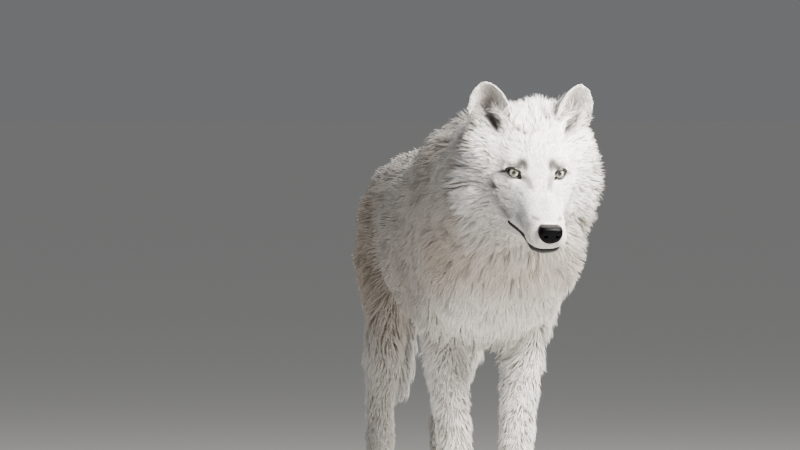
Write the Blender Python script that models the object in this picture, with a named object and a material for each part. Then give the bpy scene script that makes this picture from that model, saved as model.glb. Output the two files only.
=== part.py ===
"""Arctic wolf, standing, as a life-size still model, built as solids out to the tips of its coat.

The animal is modelled whole from lofts and ellipsoids, fused by a voxel Remesh, eased by a
Smooth and thinned by a Decimate, and is then parted by thin cuts into the parts that a person
would name.  Ears, eyes and nose are solids of their own, let into the head.

Frame: metres, +Z up, the wolf looks along -Y and its left side is at +X.  While it is being
built, y = 0 is the plane through the withers; the last step moves the origin to the floor
under the middle of the finished animal's box.
"""

import math
from dataclasses import dataclass

import bmesh
import bpy
import numpy as np
from mathutils import Euler, Matrix, Vector

# --- driving dimensions, metres, out to the tips of the coat -------------------------------
WITHERS_HEIGHT = 0.780
CROUP_HEIGHT = 0.708
SHOULDER_HALF_WIDTH = 0.133
HIP_HALF_WIDTH = 0.104
BODY_BACK = 0.700            # buttocks behind the withers
BRISKET_HEIGHT = 0.362       # lowest coat of the chest

EYE_AHEAD = 0.365            # midpoint of the eyes ahead of the withers
EYE_HEIGHT = 0.668
HEAD_SIDE = 0.010            # the head is carried a little to the left
HEAD_PITCH = math.radians(21.5)
HEAD_TURN = math.radians(1.7)
HEAD_ROLL = math.radians(1.8)
EYE_HALF_SPACING = 0.0365
EYE_RADIUS = 0.0120
EYE_DEPTH = 0.0065           # eyeball centre behind the plane of the eyes
EYE_OUTWARD = 24             # degrees that each eye's opening faces outwards
EYE_SLANT = 20               # degrees that its outer corner is raised
LID_AHEAD = 0.0125           # opening of the lids in front of the eyeball's centre
LID_OPENING = (0.0112, 0.0100, 0.0080)

EAR_HALF_SPACING = 0.071     # middle of each ear's base from the midline
EAR_BEHIND = 0.072           # and behind and above the eyes
EAR_ABOVE = 0.064
EAR_HEIGHT = 0.060           # tip above the base, which the coat hides
EAR_ROOT = 0.034             # how far it goes on below the base
EAR_ROUNDING = 0.060         # stretch below the tip over which the ear reaches its full width
EAR_HALF_WIDTH = 0.0375
EAR_SPLAY = 15               # degrees that it leans outwards
EAR_TURN = 18                # degrees that its opening is turned outwards
EAR_TIP_FORWARD = 2          # degrees
EAR_WALL = 0.0130            # at the base, coat included
EAR_CUP = 0.022

FORE_HALF_TRACK = 0.050
HIND_HALF_TRACK = 0.064
FORE_STRIDE = 0.022          # how far each fore paw stands ahead of or behind square
HIND_STRIDE = 0.046
FORE_HEEL = -0.060           # pad of a fore paw standing square, behind the withers
HIND_HEEL = 0.560

PAW_TOP = 0.062              # heights of the cuts between the parts of the legs
WRIST_CUT = 0.165
ELBOW_CUT = 0.352
HOCK_CUT = 0.212
STIFLE_CUT = 0.340
SHOULDER_CUT = 0.270         # height of the shoulder part above the elbow cut
CLEAR = 0.30                 # reach of a cutting box that passes right outside the animal

# --- fineness ------------------------------------------------------------------------------
GAP = 0.0004                 # thin cut between neighbouring parts
VOXEL = 0.0040
EASE_STEPS = 120             # smoothing passes over the whole animal
TRUNK_VOXEL = 0.0080
TRUNK_EASE_STEPS = 60        # and over the trunk alone, before the limbs join it
BODY_TRIANGLES = 4000
FACE_SHARE = 0.90            # how readily the face is thinned, next to the trunk
RING_SIDES = 32
LIMB_SIDES = 20

LEFT, RIGHT = 1, -1
SIDE_NAME = {LEFT: "left", RIGHT: "right"}


@dataclass(frozen=True)
class Ring:
    """One cross-section: an egg-shaped superellipse about a centre."""

    at: Vector
    half_width: float
    rise: float              # reach above the centre
    drop: float              # reach below the centre
    top_power: float = 2.0   # 2 is an ellipse, less is pointed, more is boxy
    low_power: float = 2.0


# --- helpers -------------------------------------------------------------------------------
def clear_scene():
    for obj in list(bpy.data.objects):
        bpy.data.objects.remove(obj)


def material(name, colour, roughness):
    """A plain finish for one kind of surface."""
    made = bpy.data.materials.new(name)
    made.use_nodes = True
    shader = made.node_tree.nodes["Principled BSDF"]
    shader.inputs["Base Color"].default_value = (*colour, 1.0)
    shader.inputs["Roughness"].default_value = roughness
    shader.inputs["Metallic"].default_value = 0.0
    return made


def add_object(name, mesh, finish=None):
    obj = bpy.data.objects.new(name, mesh)
    bpy.context.scene.collection.objects.link(obj)
    if finish is not None:
        mesh.materials.clear()
        mesh.materials.append(finish)
    return obj


def helper(name, mesh):
    """An object that shapes others and isn't a part itself."""
    obj = add_object(name, mesh)
    obj.hide_render = True
    obj.display_type = "WIRE"
    return obj


def evaluated_mesh(obj):
    bpy.context.view_layer.update()
    graph = bpy.context.evaluated_depsgraph_get()
    return bpy.data.meshes.new_from_object(obj.evaluated_get(graph))


def signed_power(value, power):
    return math.copysign(abs(value) ** power, value)


def ring_points(ring, across, upward, sides):
    points = []
    for k in range(sides):
        angle = 2 * math.pi * k / sides
        c, s = math.cos(angle), math.sin(angle)
        power = ring.top_power if s >= 0 else ring.low_power
        reach = ring.rise if s >= 0 else ring.drop
        side = signed_power(c, 2 / power) * ring.half_width
        height = signed_power(s, 2 / power) * reach
        points.append(ring.at + across * side + upward * height)
    return points


def blend_rings(rings, steps):
    """Catmull-Rom through the rings, so that few of them give a smooth form."""
    rows = np.array(
        [[*r.at, r.half_width, r.rise, r.drop, r.top_power, r.low_power] for r in rings]
    )
    padded = np.vstack([2 * rows[0] - rows[1], rows, 2 * rows[-1] - rows[-2]])
    smooth = []
    for i in range(1, len(padded) - 2):
        before, a, b, after = padded[i - 1 : i + 3]
        for t in np.arange(steps) / steps:
            smooth.append(
                0.5
                * (
                    2 * a
                    + (b - before) * t
                    + (2 * before - 5 * a + 4 * b - after) * t**2
                    + (3 * a - before - 3 * b + after) * t**3
                )
            )
    smooth.append(rows[-1])
    made = []
    for row in smooth:
        at, sizes = Vector(row[:3]), np.maximum(row[3:6], 0.002)
        made.append(Ring(at, *sizes, *np.maximum(row[6:], 1.2)))
    return made


def loft(form, rings, across=Vector((1, 0, 0)), upward=None, sides=RING_SIDES, steps=4):
    """Adds a closed loft through the rings to the bmesh.  With no upward, each ring stands
    square to the path that the rings follow."""
    rings = blend_rings(rings, steps)
    loops = []
    for i, ring in enumerate(rings):
        if upward is None:
            run = rings[min(i + 1, len(rings) - 1)].at - rings[max(i - 1, 0)].at
            up = across.cross(run).normalized()
        else:
            up = upward
        loops.append([form.verts.new(p) for p in ring_points(ring, across, up, sides)])
    for a, b in zip(loops, loops[1:]):
        for k in range(sides):
            n = (k + 1) % sides
            form.faces.new((a[k], a[n], b[n], b[k]))
    form.faces.new(loops[0][::-1])
    form.faces.new(loops[-1])


def ellipsoid(form, centre, radii, turn=(0, 0, 0), detail=3):
    """Adds an ellipsoid; turn is its rotation about X, Y and Z in degrees."""
    rotation = Euler([math.radians(a) for a in turn]).to_matrix().to_4x4()
    matrix = Matrix.Translation(centre) @ rotation @ Matrix.Diagonal((*radii, 1))
    bmesh.ops.create_icosphere(form, subdivisions=detail, radius=1, matrix=matrix)


def mesh_of(form, name, matrix=None):
    if matrix is not None:
        bmesh.ops.transform(form, matrix=matrix, verts=form.verts)
    bmesh.ops.recalc_face_normals(form, faces=form.faces)
    mesh = bpy.data.meshes.new(name)
    form.to_mesh(mesh)
    form.free()
    return mesh


def boolean(obj, other, operation):
    """Cuts or trims obj with other and keeps the result."""
    modifier = obj.modifiers.new(operation, "BOOLEAN")
    modifier.operation = operation
    modifier.object = other
    modifier.solver = "EXACT"
    finished = evaluated_mesh(obj)
    obj.modifiers.remove(modifier)
    obj.data = finished


def grown(obj, by):
    """A helper copy of obj, every face moved out by that much."""
    copy = helper(obj.name + "_grown", obj.data.copy())
    swell = copy.modifiers.new("swell", "DISPLACE")
    swell.strength = by
    swell.mid_level = 0.0
    copy.data = evaluated_mesh(copy)
    copy.modifiers.clear()
    return copy


# --- the head, in its own frame: x to the left, y backwards, z up, 0 between the eyes -------
def head_matrix():
    place = Vector((HEAD_SIDE, -EYE_AHEAD, EYE_HEIGHT))
    turn = Matrix.Rotation(HEAD_TURN, 4, "Z")
    pitch = Matrix.Rotation(HEAD_PITCH, 4, "X")
    roll = Matrix.Rotation(HEAD_ROLL, 4, "Y")
    return Matrix.Translation(place) @ turn @ pitch @ roll


def head_ring(ahead, half_width, top, bottom, middle=None, top_power=2.0, low_power=2.0):
    """A section of the head that far ahead of the eyes; heights are from the eyes' level."""
    if middle is None:
        middle = (top + bottom) / 2
    centre = Vector((0, -ahead, middle))
    return Ring(centre, half_width, top - middle, middle - bottom, top_power, low_power)


def skull_form(form):
    """Upper face and braincase, from behind the nose pad to the nape."""
    loft(
        form,
        [
            head_ring(0.121, 0.0200, -0.0430, -0.0740, top_power=2.3),
            head_ring(0.108, 0.0290, -0.0370, -0.0840, top_power=2.5, low_power=2.4),
            head_ring(0.084, 0.0335, -0.0290, -0.0840, top_power=2.4, low_power=2.6),
            head_ring(0.054, 0.0368, -0.0190, -0.0830, -0.056, 2.1, 2.8),
            head_ring(0.030, 0.0440, -0.0075, -0.0860, -0.056, 1.85, 2.8),
            head_ring(0.006, 0.0590, 0.0150, -0.0900, -0.052, 1.8, 2.8),
            head_ring(-0.020, 0.0780, 0.0390, -0.0940, -0.042, 1.95, 2.6),
            head_ring(-0.055, 0.0890, 0.0640, -0.0960, -0.026, 2.2),
            head_ring(-0.095, 0.0920, 0.0850, -0.0960, -0.014, 2.3),
            head_ring(-0.132, 0.0840, 0.0890, -0.0850, -0.004, 2.2),
            head_ring(-0.168, 0.0560, 0.0580, -0.0600, -0.004),
        ],
        upward=Vector((0, 0, 1)),
    )
    for side in (LEFT, RIGHT):
        # whisker pad
        ellipsoid(form, Vector((side * 0.0195, -0.098, -0.067)), (0.0155, 0.0270, 0.0165), (8, 0, 0))
        # brow above the eye
        ellipsoid(form, Vector((side * 0.033, 0.022, 0.0150)), (0.0240, 0.0240, 0.0140), (30, 0, 0))
        # base of the ear
        ellipsoid(form, Vector((side * (EAR_HALF_SPACING - 0.004), 0.090, 0.046)), (0.040, 0.038, 0.036))


def jaw_form(form):
    """Lower jaw and chin, tucked under the upper lip."""
    loft(
        form,
        [
            head_ring(0.108, 0.0120, -0.0800, -0.0950),
            head_ring(0.099, 0.0190, -0.0760, -0.1000),
            head_ring(0.074, 0.0230, -0.0740, -0.1020),
            head_ring(0.036, 0.0310, -0.0720, -0.1060),
            head_ring(-0.010, 0.0480, -0.0660, -0.1160),
            head_ring(-0.060, 0.0600, -0.0500, -0.1180),
        ],
        upward=Vector((0, 0, 1)),
    )


def ruff_form(form):
    """The cheek ruff: a flared collar of long coat behind the short-haired face."""
    loft(
        form,
        [
            head_ring(-0.012, 0.0740, 0.0140, -0.1080, -0.046),
            head_ring(-0.034, 0.1100, 0.0420, -0.1400, -0.052, 2.4, 2.8),
            head_ring(-0.056, 0.1350, 0.0640, -0.1620, -0.056, 2.8, 3.4),
            head_ring(-0.080, 0.1405, 0.0740, -0.1720, -0.054, 2.7, 3.3),
            head_ring(-0.115, 0.1330, 0.0780, -0.1660, -0.044, 2.4, 2.8),
            head_ring(-0.155, 0.1100, 0.0680, -0.1400, -0.032, 2.1, 2.2),
            head_ring(-0.190, 0.0820, 0.0500, -0.1080, -0.024),
        ],
        upward=Vector((0, 0, 1)),
    )


def eye_centre(side):
    return Vector((side * EYE_HALF_SPACING, EYE_DEPTH, 0.0))


def lid_openings():
    """The almond openings of the lids: each clears the coat from the front of an eyeball."""
    form = bmesh.new()
    for side in (LEFT, RIGHT):
        outward = math.radians(EYE_OUTWARD)
        facing = Vector((side * math.sin(outward), -math.cos(outward), 0.0))
        centre = eye_centre(side) + facing * LID_AHEAD
        turn = (0, -side * EYE_SLANT, side * EYE_OUTWARD)
        ellipsoid(form, centre, LID_OPENING, turn)
    return mesh_of(form, "lid_openings", head_matrix())


def nose_mesh():
    """The nose pad: a rounded block, wider at its top than at the lip, with two nostrils."""
    form = bmesh.new()
    loft(
        form,
        [
            head_ring(0.104, 0.0155, -0.0400, -0.0660, -0.054, 2.6, 2.2),
            head_ring(0.112, 0.0190, -0.0380, -0.0685, -0.053, 2.8, 2.1),
            head_ring(0.124, 0.0205, -0.0375, -0.0710, -0.052, 2.8, 2.0),
            head_ring(0.132, 0.0180, -0.0410, -0.0700, -0.053, 2.6, 2.0),
            head_ring(0.1365, 0.0100, -0.0470, -0.0650, -0.055, 2.2, 2.0),
        ],
        upward=Vector((0, 0, 1)),
        sides=16,
        steps=2,
    )
    return mesh_of(form, "nose")


def nostril_cutters():
    form = bmesh.new()
    for side in (LEFT, RIGHT):
        centre = Vector((side * 0.0100, -0.1345, -0.0560))
        ellipsoid(form, centre, (0.0040, 0.0080, 0.0034), (0, side * 24, side * 20), detail=2)
    return mesh_of(form, "nostrils")


def ear_mesh(side):
    """A cupped, round-tipped ear with its opening forwards, rooted below the coat."""
    across_steps, up_steps = 6, 8
    form = bmesh.new()
    outer, inner = [], []
    for j in range(up_steps + 1):
        part_up = math.sin(math.pi / 2 * j / up_steps)
        height = (EAR_HEIGHT + EAR_ROOT) * part_up - EAR_ROOT
        to_full = max(0.0, 1 - (EAR_HEIGHT - height) / EAR_ROUNDING)
        half_width = max(EAR_HALF_WIDTH * math.sqrt(1 - to_full**2.2), 0.005)
        cup = EAR_CUP * half_width / EAR_HALF_WIDTH
        wall = EAR_WALL * (1 - 0.45 * part_up)
        lean = 0.010 * part_up**2
        outer_row, inner_row = [], []
        for i in range(across_steps + 1):
            s = 2 * i / across_steps - 1
            back = cup * (1 - s * s) + lean
            rim = wall * (0.5 + 0.5 * (1 - s * s))
            outer_row.append(form.verts.new((s * half_width, back + rim / 2, height)))
            inner_row.append(form.verts.new((s * half_width, back - rim / 2, height)))
        outer.append(outer_row)
        inner.append(inner_row)
    for rows, facing_out in ((outer, True), (inner, False)):
        for j in range(up_steps):
            for i in range(across_steps):
                quad = (rows[j][i], rows[j][i + 1], rows[j + 1][i + 1], rows[j + 1][i])
                form.faces.new(quad if facing_out else quad[::-1])
    for i in range(across_steps):
        form.faces.new((outer[0][i], outer[0][i + 1], inner[0][i + 1], inner[0][i]))
        form.faces.new((inner[-1][i], inner[-1][i + 1], outer[-1][i + 1], outer[-1][i]))
    for j in range(up_steps):
        form.faces.new((inner[j][0], inner[j + 1][0], outer[j + 1][0], outer[j][0]))
        form.faces.new((outer[j][-1], outer[j + 1][-1], inner[j + 1][-1], inner[j][-1]))
    # the ear stands a little back and out, with its opening turned to the side
    base = Vector((side * EAR_HALF_SPACING, EAR_BEHIND, EAR_ABOVE))
    turn = Matrix.Rotation(math.radians(side * EAR_TURN), 4, "Z")
    splay = Matrix.Rotation(math.radians(side * EAR_SPLAY), 4, "Y")
    upright = Matrix.Rotation(math.radians(-EAR_TIP_FORWARD), 4, "X")
    place = head_matrix() @ Matrix.Translation(base) @ splay @ upright @ turn
    return mesh_of(form, "ear", place)


# --- the body ------------------------------------------------------------------------------
def body_ring(back, half_width, top, bottom, middle, top_power=2.0, low_power=2.0):
    centre = Vector((0, back, middle))
    return Ring(centre, half_width, top - middle, middle - bottom, top_power, low_power)


def barrel_form(form):
    """Neck, chest, ribs, loin and rump, from the nape to the buttocks."""
    loft(
        form,
        [
            body_ring(-0.325, 0.084, 0.745, 0.548, 0.640),
            body_ring(-0.280, 0.117, 0.777, 0.500, 0.618, 2.2, 2.3),
            body_ring(-0.215, 0.131, 0.780, 0.452, 0.592, 1.80, 2.3),
            body_ring(-0.145, 0.136, 0.777, 0.410, 0.578, 1.60, 2.5),
            body_ring(-0.060, 0.136, 0.780, 0.374, 0.572, 1.52, 2.3),
            body_ring(0.015, SHOULDER_HALF_WIDTH, WITHERS_HEIGHT, BRISKET_HEIGHT, 0.572, 1.55),
            body_ring(0.120, 0.135, 0.746, 0.352, 0.560, 1.65),
            body_ring(0.250, 0.131, 0.710, 0.366, 0.552, 1.75),
            body_ring(0.370, 0.118, CROUP_HEIGHT - 0.006, 0.402, 0.564, 1.70),
            body_ring(0.480, HIP_HALF_WIDTH, CROUP_HEIGHT, 0.440, 0.575, 1.60),
            body_ring(0.590, 0.100, CROUP_HEIGHT - 0.014, 0.458, 0.580, 1.60),
            body_ring(0.665, 0.076, CROUP_HEIGHT - 0.056, 0.490, 0.584),
            body_ring(BODY_BACK, 0.042, CROUP_HEIGHT - 0.102, 0.532, 0.576),
        ],
        upward=Vector((0, 0, 1)),
        sides=40,
    )


def muscle_form(form):
    """Shoulder blades and haunches, which swell a little under the coat."""
    for side in (LEFT, RIGHT):
        ellipsoid(form, Vector((side * 0.074, -0.020, 0.580)), (0.062, 0.130, 0.165), (-14, 0, 0))
        ellipsoid(form, Vector((side * 0.052, 0.515, 0.548)), (0.061, 0.160, 0.124), (14, 0, 0))


def leg_ring(x, back, height, half_width, half_length):
    """A section of a limb; rise and drop of the ring run fore and aft."""
    return Ring(Vector((x, back, height)), half_width, half_length, half_length)


def stand(side_x, stride, hinge_height, rings):
    """Sets a limb on its side and leans it so that the paw comes to its place in the stride."""
    placed = []
    for ring in rings:
        share = max(0.0, 1 - ring.at.z / hinge_height)
        at = Vector((side_x * ring.at.x, ring.at.y + stride * share, ring.at.z))
        placed.append(Ring(at, ring.half_width, ring.rise, ring.drop))
    return placed


def foreleg_form(form, side, stride):
    """Upper arm, forearm, wrist and pastern."""
    track = FORE_HALF_TRACK
    rings = [
        leg_ring(0.076, -0.034, 0.585, 0.044, 0.092),
        leg_ring(0.081, -0.026, 0.510, 0.049, 0.088),
        leg_ring(0.079, -0.010, 0.440, 0.049, 0.074),
        leg_ring(0.072, 0.000, 0.385, 0.0430, 0.060),
        leg_ring(0.061, 0.000, 0.320, 0.0380, 0.047),
        leg_ring(track + 0.003, -0.006, 0.250, 0.0345, 0.0385),
        leg_ring(track, -0.012, 0.185, 0.0330, 0.0350),
        leg_ring(track, -0.018, 0.125, 0.0305, 0.0310),
        leg_ring(track, -0.036, 0.070, 0.0335, 0.0320),
        leg_ring(track, -0.046, 0.032, 0.0365, 0.0340),
    ]
    loft(form, stand(side, stride, 0.50, rings), sides=LIMB_SIDES, steps=3)


def hindleg_form(form, side, stride):
    """Thigh, gaskin, hock and metatarsus."""
    track = HIND_HALF_TRACK
    rings = [
        leg_ring(0.062, 0.535, 0.600, 0.050, 0.110),
        leg_ring(0.068, 0.520, 0.530, 0.052, 0.118),
        leg_ring(0.074, 0.500, 0.460, 0.048, 0.102),
        leg_ring(0.076, 0.490, 0.395, 0.042, 0.074),
        leg_ring(0.073, 0.524, 0.330, 0.0360, 0.053),
        leg_ring(0.068, 0.578, 0.264, 0.0310, 0.042),
        leg_ring(track, 0.610, 0.212, 0.0290, 0.037),
        leg_ring(track, 0.610, 0.160, 0.0270, 0.030),
        leg_ring(track, 0.600, 0.108, 0.0265, 0.028),
        leg_ring(track, 0.586, 0.062, 0.0300, 0.030),
        leg_ring(track, 0.574, 0.030, 0.0335, 0.033),
    ]
    loft(form, stand(side, stride, 0.60, rings), sides=LIMB_SIDES, steps=3)


def paw_form(form, x, heel, length, width, height):
    """A paw of four toes round a pad; heel is the pad's middle, and the toes point to -Y."""
    half = width / 2
    ellipsoid(form, Vector((x, heel - 0.008, height * 0.42)), (half * 0.92, length * 0.47, height * 0.68))
    toes = ((-0.62, 0.34, 0.0), (-0.24, 0.48, 1.0), (0.24, 0.48, 1.0), (0.62, 0.34, 0.0))
    for across, ahead, middle in toes:
        centre = Vector((x + across * half, heel - ahead * length, height * 0.36))
        radii = (half * 0.30, length * 0.24, height * (0.50 + 0.05 * middle))
        ellipsoid(form, centre, radii, (10, 0, across * 20))


def claw_form(form, x, heel, length, width, height):
    """Four blunt claws that come out of the coat of the toes."""
    half = width / 2
    for across, ahead in ((-0.72, 0.50), (-0.27, 0.69), (0.27, 0.69), (0.72, 0.50)):
        root = Vector((x + across * half, heel - ahead * length + 0.006, height * 0.36))
        reach = Vector((across * 0.002, -0.014, -0.007))
        side = Vector((1, 0, 0))
        rings = [
            Ring(root, 0.0042, 0.0045, 0.0045),
            Ring(root + reach * 0.6 + Vector((0, 0, 0.0012)), 0.0032, 0.0036, 0.0036),
            Ring(root + reach * 1.15, 0.0016, 0.0018, 0.0018),
        ]
        loft(form, rings, across=side, sides=5, steps=1)


def tail_form(form):
    """The brush, hanging to the hocks."""
    path = [
        (0.640, 0.625, 0.036),
        (0.700, 0.602, 0.041),
        (0.742, 0.545, 0.047),
        (0.763, 0.470, 0.053),
        (0.774, 0.390, 0.055),
        (0.782, 0.315, 0.047),
        (0.790, 0.255, 0.030),
        (0.796, 0.218, 0.008),
    ]
    rings = [Ring(Vector((0, y, z)), r * 0.94, r, r) for y, z, r in path]
    loft(form, rings, sides=LIMB_SIDES)


@dataclass(frozen=True)
class Paw:
    """Where one paw stands and how big it is."""

    name: str
    x: float
    heel: float
    length: float
    width: float
    height: float

    def sizes(self):
        return self.x, self.heel, self.length, self.width, self.height


def paws():
    found = []
    for side in (LEFT, RIGHT):
        fore = FORE_HEEL - side * FORE_STRIDE
        hind = HIND_HEEL + side * HIND_STRIDE
        name = SIDE_NAME[side]
        found.append(Paw(f"forepaw_{name}", side * FORE_HALF_TRACK, fore, 0.104, 0.088, 0.054))
        found.append(Paw(f"hindpaw_{name}", side * HIND_HALF_TRACK, hind, 0.098, 0.078, 0.050))
    return found


def fuse(name, mesh, voxel):
    """One closed skin round everything in the mesh."""
    obj = helper(name, mesh)
    remesh = obj.modifiers.new("fuse", "REMESH")
    remesh.mode = "VOXEL"
    remesh.voxel_size = voxel
    obj.data = evaluated_mesh(obj)
    obj.modifiers.clear()
    return obj


def ease(obj, weight_of, steps):
    """Smooths the surface by as much as weight_of says at each point."""
    group = obj.vertex_groups.new(name="soft")
    for vertex in obj.data.vertices:
        group.add([vertex.index], weight_of(vertex.co), "REPLACE")
    smooth = obj.modifiers.new("ease", "SMOOTH")
    smooth.factor = 0.5
    smooth.iterations = steps
    smooth.vertex_group = group.name
    obj.data = evaluated_mesh(obj)
    obj.modifiers.clear()
    obj.vertex_groups.clear()


def softness(point):
    """1 on the trunk, little on the face and feet, where the forms are small."""
    to_head = head_matrix().inverted() @ point
    face = max(0.0, min(1.0, (to_head.y - 0.030) / 0.10))
    low = max(0.0, min(1.0, (point.z - 0.06) / 0.34))
    return min(0.055 + 0.945 * face, 0.07 + 0.93 * low)


def thin_out(obj, triangles):
    """Fewer, larger faces, with the small ones kept on the face and feet."""
    group = obj.vertex_groups.new(name="broad")
    for vertex in obj.data.vertices:
        share = FACE_SHARE + (1 - FACE_SHARE) * softness(vertex.co)
        group.add([vertex.index], share, "REPLACE")
    obj.data.calc_loop_triangles()
    thin = obj.modifiers.new("thin", "DECIMATE")
    thin.ratio = triangles / len(obj.data.loop_triangles)
    thin.vertex_group = group.name
    obj.data = evaluated_mesh(obj)
    obj.modifiers.clear()
    obj.vertex_groups.clear()


def whole_wolf():
    """The animal in one piece, without ears, eyes and nose pad."""
    trunk = bmesh.new()
    barrel_form(trunk)
    muscle_form(trunk)
    trunk_obj = fuse("trunk_whole", mesh_of(trunk, "trunk_form"), TRUNK_VOXEL)
    ease(trunk_obj, lambda point: 1.0, TRUNK_EASE_STEPS)

    head = bmesh.new()
    skull_form(head)
    jaw_form(head)
    ruff_form(head)
    body = bmesh.new()
    body.from_mesh(trunk_obj.data)
    body.from_mesh(mesh_of(head, "head_form", head_matrix()))
    for side in (LEFT, RIGHT):
        foreleg_form(body, side, -side * FORE_STRIDE)
        hindleg_form(body, side, side * HIND_STRIDE)
    for paw in paws():
        paw_form(body, *paw.sizes())
    tail_form(body)
    wolf = fuse("wolf_whole", mesh_of(body, "wolf_form"), VOXEL)
    ease(wolf, softness, EASE_STEPS)
    thin_out(wolf, BODY_TRIANGLES)
    floor = box_between("floor", (-1, -1, -0.2), (1, 1.2, 0.0))
    boolean(wolf, floor, "DIFFERENCE")
    return wolf


# --- parting -------------------------------------------------------------------------------
def box_between(name, low, high, matrix=None):
    form = bmesh.new()
    bmesh.ops.create_cube(form, size=1)
    low, high = Vector(low), Vector(high)
    size = Matrix.Diagonal((*(high - low), 1))
    bmesh.ops.transform(form, matrix=Matrix.Translation((low + high) / 2) @ size, verts=form.verts)
    return helper(name, mesh_of(form, name, matrix))


def part_off(rest, name, low, high, finish, matrix=None):
    """Takes what lies in the box off the rest as a part of its own, with a thin gap between."""
    region = box_between(name + "_region", low, high, matrix)
    piece = add_object(name, rest.data.copy(), finish)
    boolean(piece, region, "INTERSECT")
    gap = Vector((GAP, GAP, GAP))
    wider = box_between(name + "_gap", Vector(low) - gap, Vector(high) + gap, matrix)
    boolean(rest, wider, "DIFFERENCE")
    return piece


def let_in(host, guest):
    """Cuts a seat for guest in host, with a thin gap round it."""
    boolean(host, grown(guest, GAP), "DIFFERENCE")


def part_limbs(rest, coat):
    """Paw, lower leg and upper leg on each side, fore and hind."""
    for side in (LEFT, RIGHT):
        name = SIDE_NAME[side]
        inner, outer = sorted((side * 0.004, side * CLEAR))
        for paw in (p for p in paws() if p.name.endswith(name)):
            low = (inner, paw.heel - 0.15, -0.05)
            part_off(rest, paw.name, low, (outer, paw.heel + 0.075, PAW_TOP), coat)

        fore = f"foreleg_{name}_"
        part_off(rest, fore + "pastern", (inner, -0.20, 0.04), (outer, 0.15, WRIST_CUT), coat)
        part_off(rest, fore + "forearm", (inner, -0.20, 0.15), (outer, 0.15, ELBOW_CUT), coat)
        blade = Matrix.Translation((0, -0.010, ELBOW_CUT)) @ Matrix.Rotation(math.radians(8), 4, "X")
        flank = sorted((side * 0.058, side * CLEAR))
        low, high = (flank[0], -0.105, 0.0), (flank[1], 0.100, SHOULDER_CUT)
        part_off(rest, fore + "upper", low, high, coat, blade)

        hind = f"hindleg_{name}_"
        part_off(rest, hind + "metatarsus", (inner, 0.40, 0.04), (outer, 0.72, HOCK_CUT), coat)
        part_off(rest, hind + "gaskin", (inner, 0.38, 0.20), (outer, 0.705, STIFLE_CUT), coat)
        haunch = Matrix.Translation((0, 0.40, 0.46)) @ Matrix.Rotation(math.radians(-14), 4, "X")
        part_off(rest, hind + "thigh", (inner, -0.012, -0.20), (outer, 0.33, 0.020), coat, haunch)


def part_head(rest, coat):
    """Lower jaw, muzzle, cranium and neck, each cut in the head's own frame."""
    frame = head_matrix()
    mouth = frame @ Matrix.Translation((0, -0.10, -0.0860)) @ Matrix.Rotation(math.radians(7), 4, "X")
    part_off(rest, "lower_jaw", (-0.042, -0.06, -0.06), (0.042, 0.070, 0.0), coat, mouth)
    part_off(rest, "muzzle", (-0.08, -0.20, -0.15), (0.08, -0.022, 0.08), coat, frame)
    part_off(rest, "cranium", (-0.20, -0.10, -0.178), (0.20, 0.118, 0.20), coat, frame)
    nape = Matrix.Translation((0, -0.165, 0.60)) @ Matrix.Rotation(math.radians(-24), 4, "X")
    part_off(rest, "neck", (-0.25, -0.30, -0.35), (0.25, 0.0, 0.35), coat, nape)


def build():
    clear_scene()
    coat = material("coat", (0.86, 0.84, 0.80), 0.9)
    nose_skin = material("nose_leather", (0.02, 0.02, 0.024), 0.45)
    eye_finish = material("eye", (0.62, 0.62, 0.48), 0.08)

    rest = whole_wolf()

    part_off(rest, "tail", (-0.09, BODY_BACK + 0.006, 0.10), (0.09, 0.95, 0.70), coat)
    part_limbs(rest, coat)
    part_head(rest, coat)
    part_off(rest, "chest", (-0.3, -0.40, 0.20), (0.3, 0.125, 0.90), coat)
    part_off(rest, "hindquarters", (-0.3, 0.395, 0.20), (0.3, 0.90, 0.90), coat)
    add_object("ribs_and_loin", rest.data.copy(), coat)

    frame = head_matrix()
    cranium, muzzle = bpy.data.objects["cranium"], bpy.data.objects["muzzle"]
    openings = helper("lid_openings", lid_openings())
    boolean(cranium, openings, "DIFFERENCE")
    boolean(muzzle, openings, "DIFFERENCE")
    for side in (LEFT, RIGHT):
        form = bmesh.new()
        ellipsoid(form, frame @ eye_centre(side), (EYE_RADIUS,) * 3, detail=2)
        eye = add_object(f"eye_{SIDE_NAME[side]}", mesh_of(form, "eye"), eye_finish)
        let_in(cranium, eye)
        ear = add_object(f"ear_{SIDE_NAME[side]}", ear_mesh(side), coat)
        boolean(ear, grown(cranium, GAP), "DIFFERENCE")
    nose = add_object("nose", nose_mesh(), nose_skin)
    boolean(nose, helper("nostrils", nostril_cutters()), "DIFFERENCE")
    nose.data.transform(frame)
    let_in(muzzle, nose)
    let_in(bpy.data.objects["lower_jaw"], nose)

    for paw in paws():
        form = bmesh.new()
        claw_form(form, *paw.sizes())
        boolean(bpy.data.objects[paw.name], helper(paw.name + "_claws", mesh_of(form, "claws")), "UNION")

    move_to_floor_centre()


def move_to_floor_centre():
    """Puts the origin on the floor, under the middle of the animal's box."""
    parts = [o for o in bpy.data.objects if not o.hide_render]
    corners = np.array([o.matrix_world @ v.co for o in parts for v in o.data.vertices])
    low, high = corners.min(axis=0), corners.max(axis=0)
    shift = Vector(-(low + high) / 2)
    shift.z = -low[2]
    for obj in parts:
        obj.data.transform(Matrix.Translation(shift))
        obj.data.shade_smooth()


if __name__ == "__main__":
    build()
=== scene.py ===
"""Arctic wolf: the hide, coat, eyes, nose, lips and claws of a life-size still model.

One hide replaces every solid of flesh and lies inside them by the depth of the coat.  Locks of
guard hair grow from it, each a thin closed spike that follows the lie of the coat, so that
their tips come out at the outline that the solids give.

Frame: metres, +Z up, the wolf looks along -Y and its left side is at +X.
"""

import logging
import math
from collections.abc import Callable, Iterator
from contextlib import contextmanager
from dataclasses import dataclass
from enum import Enum
from functools import partial

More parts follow.
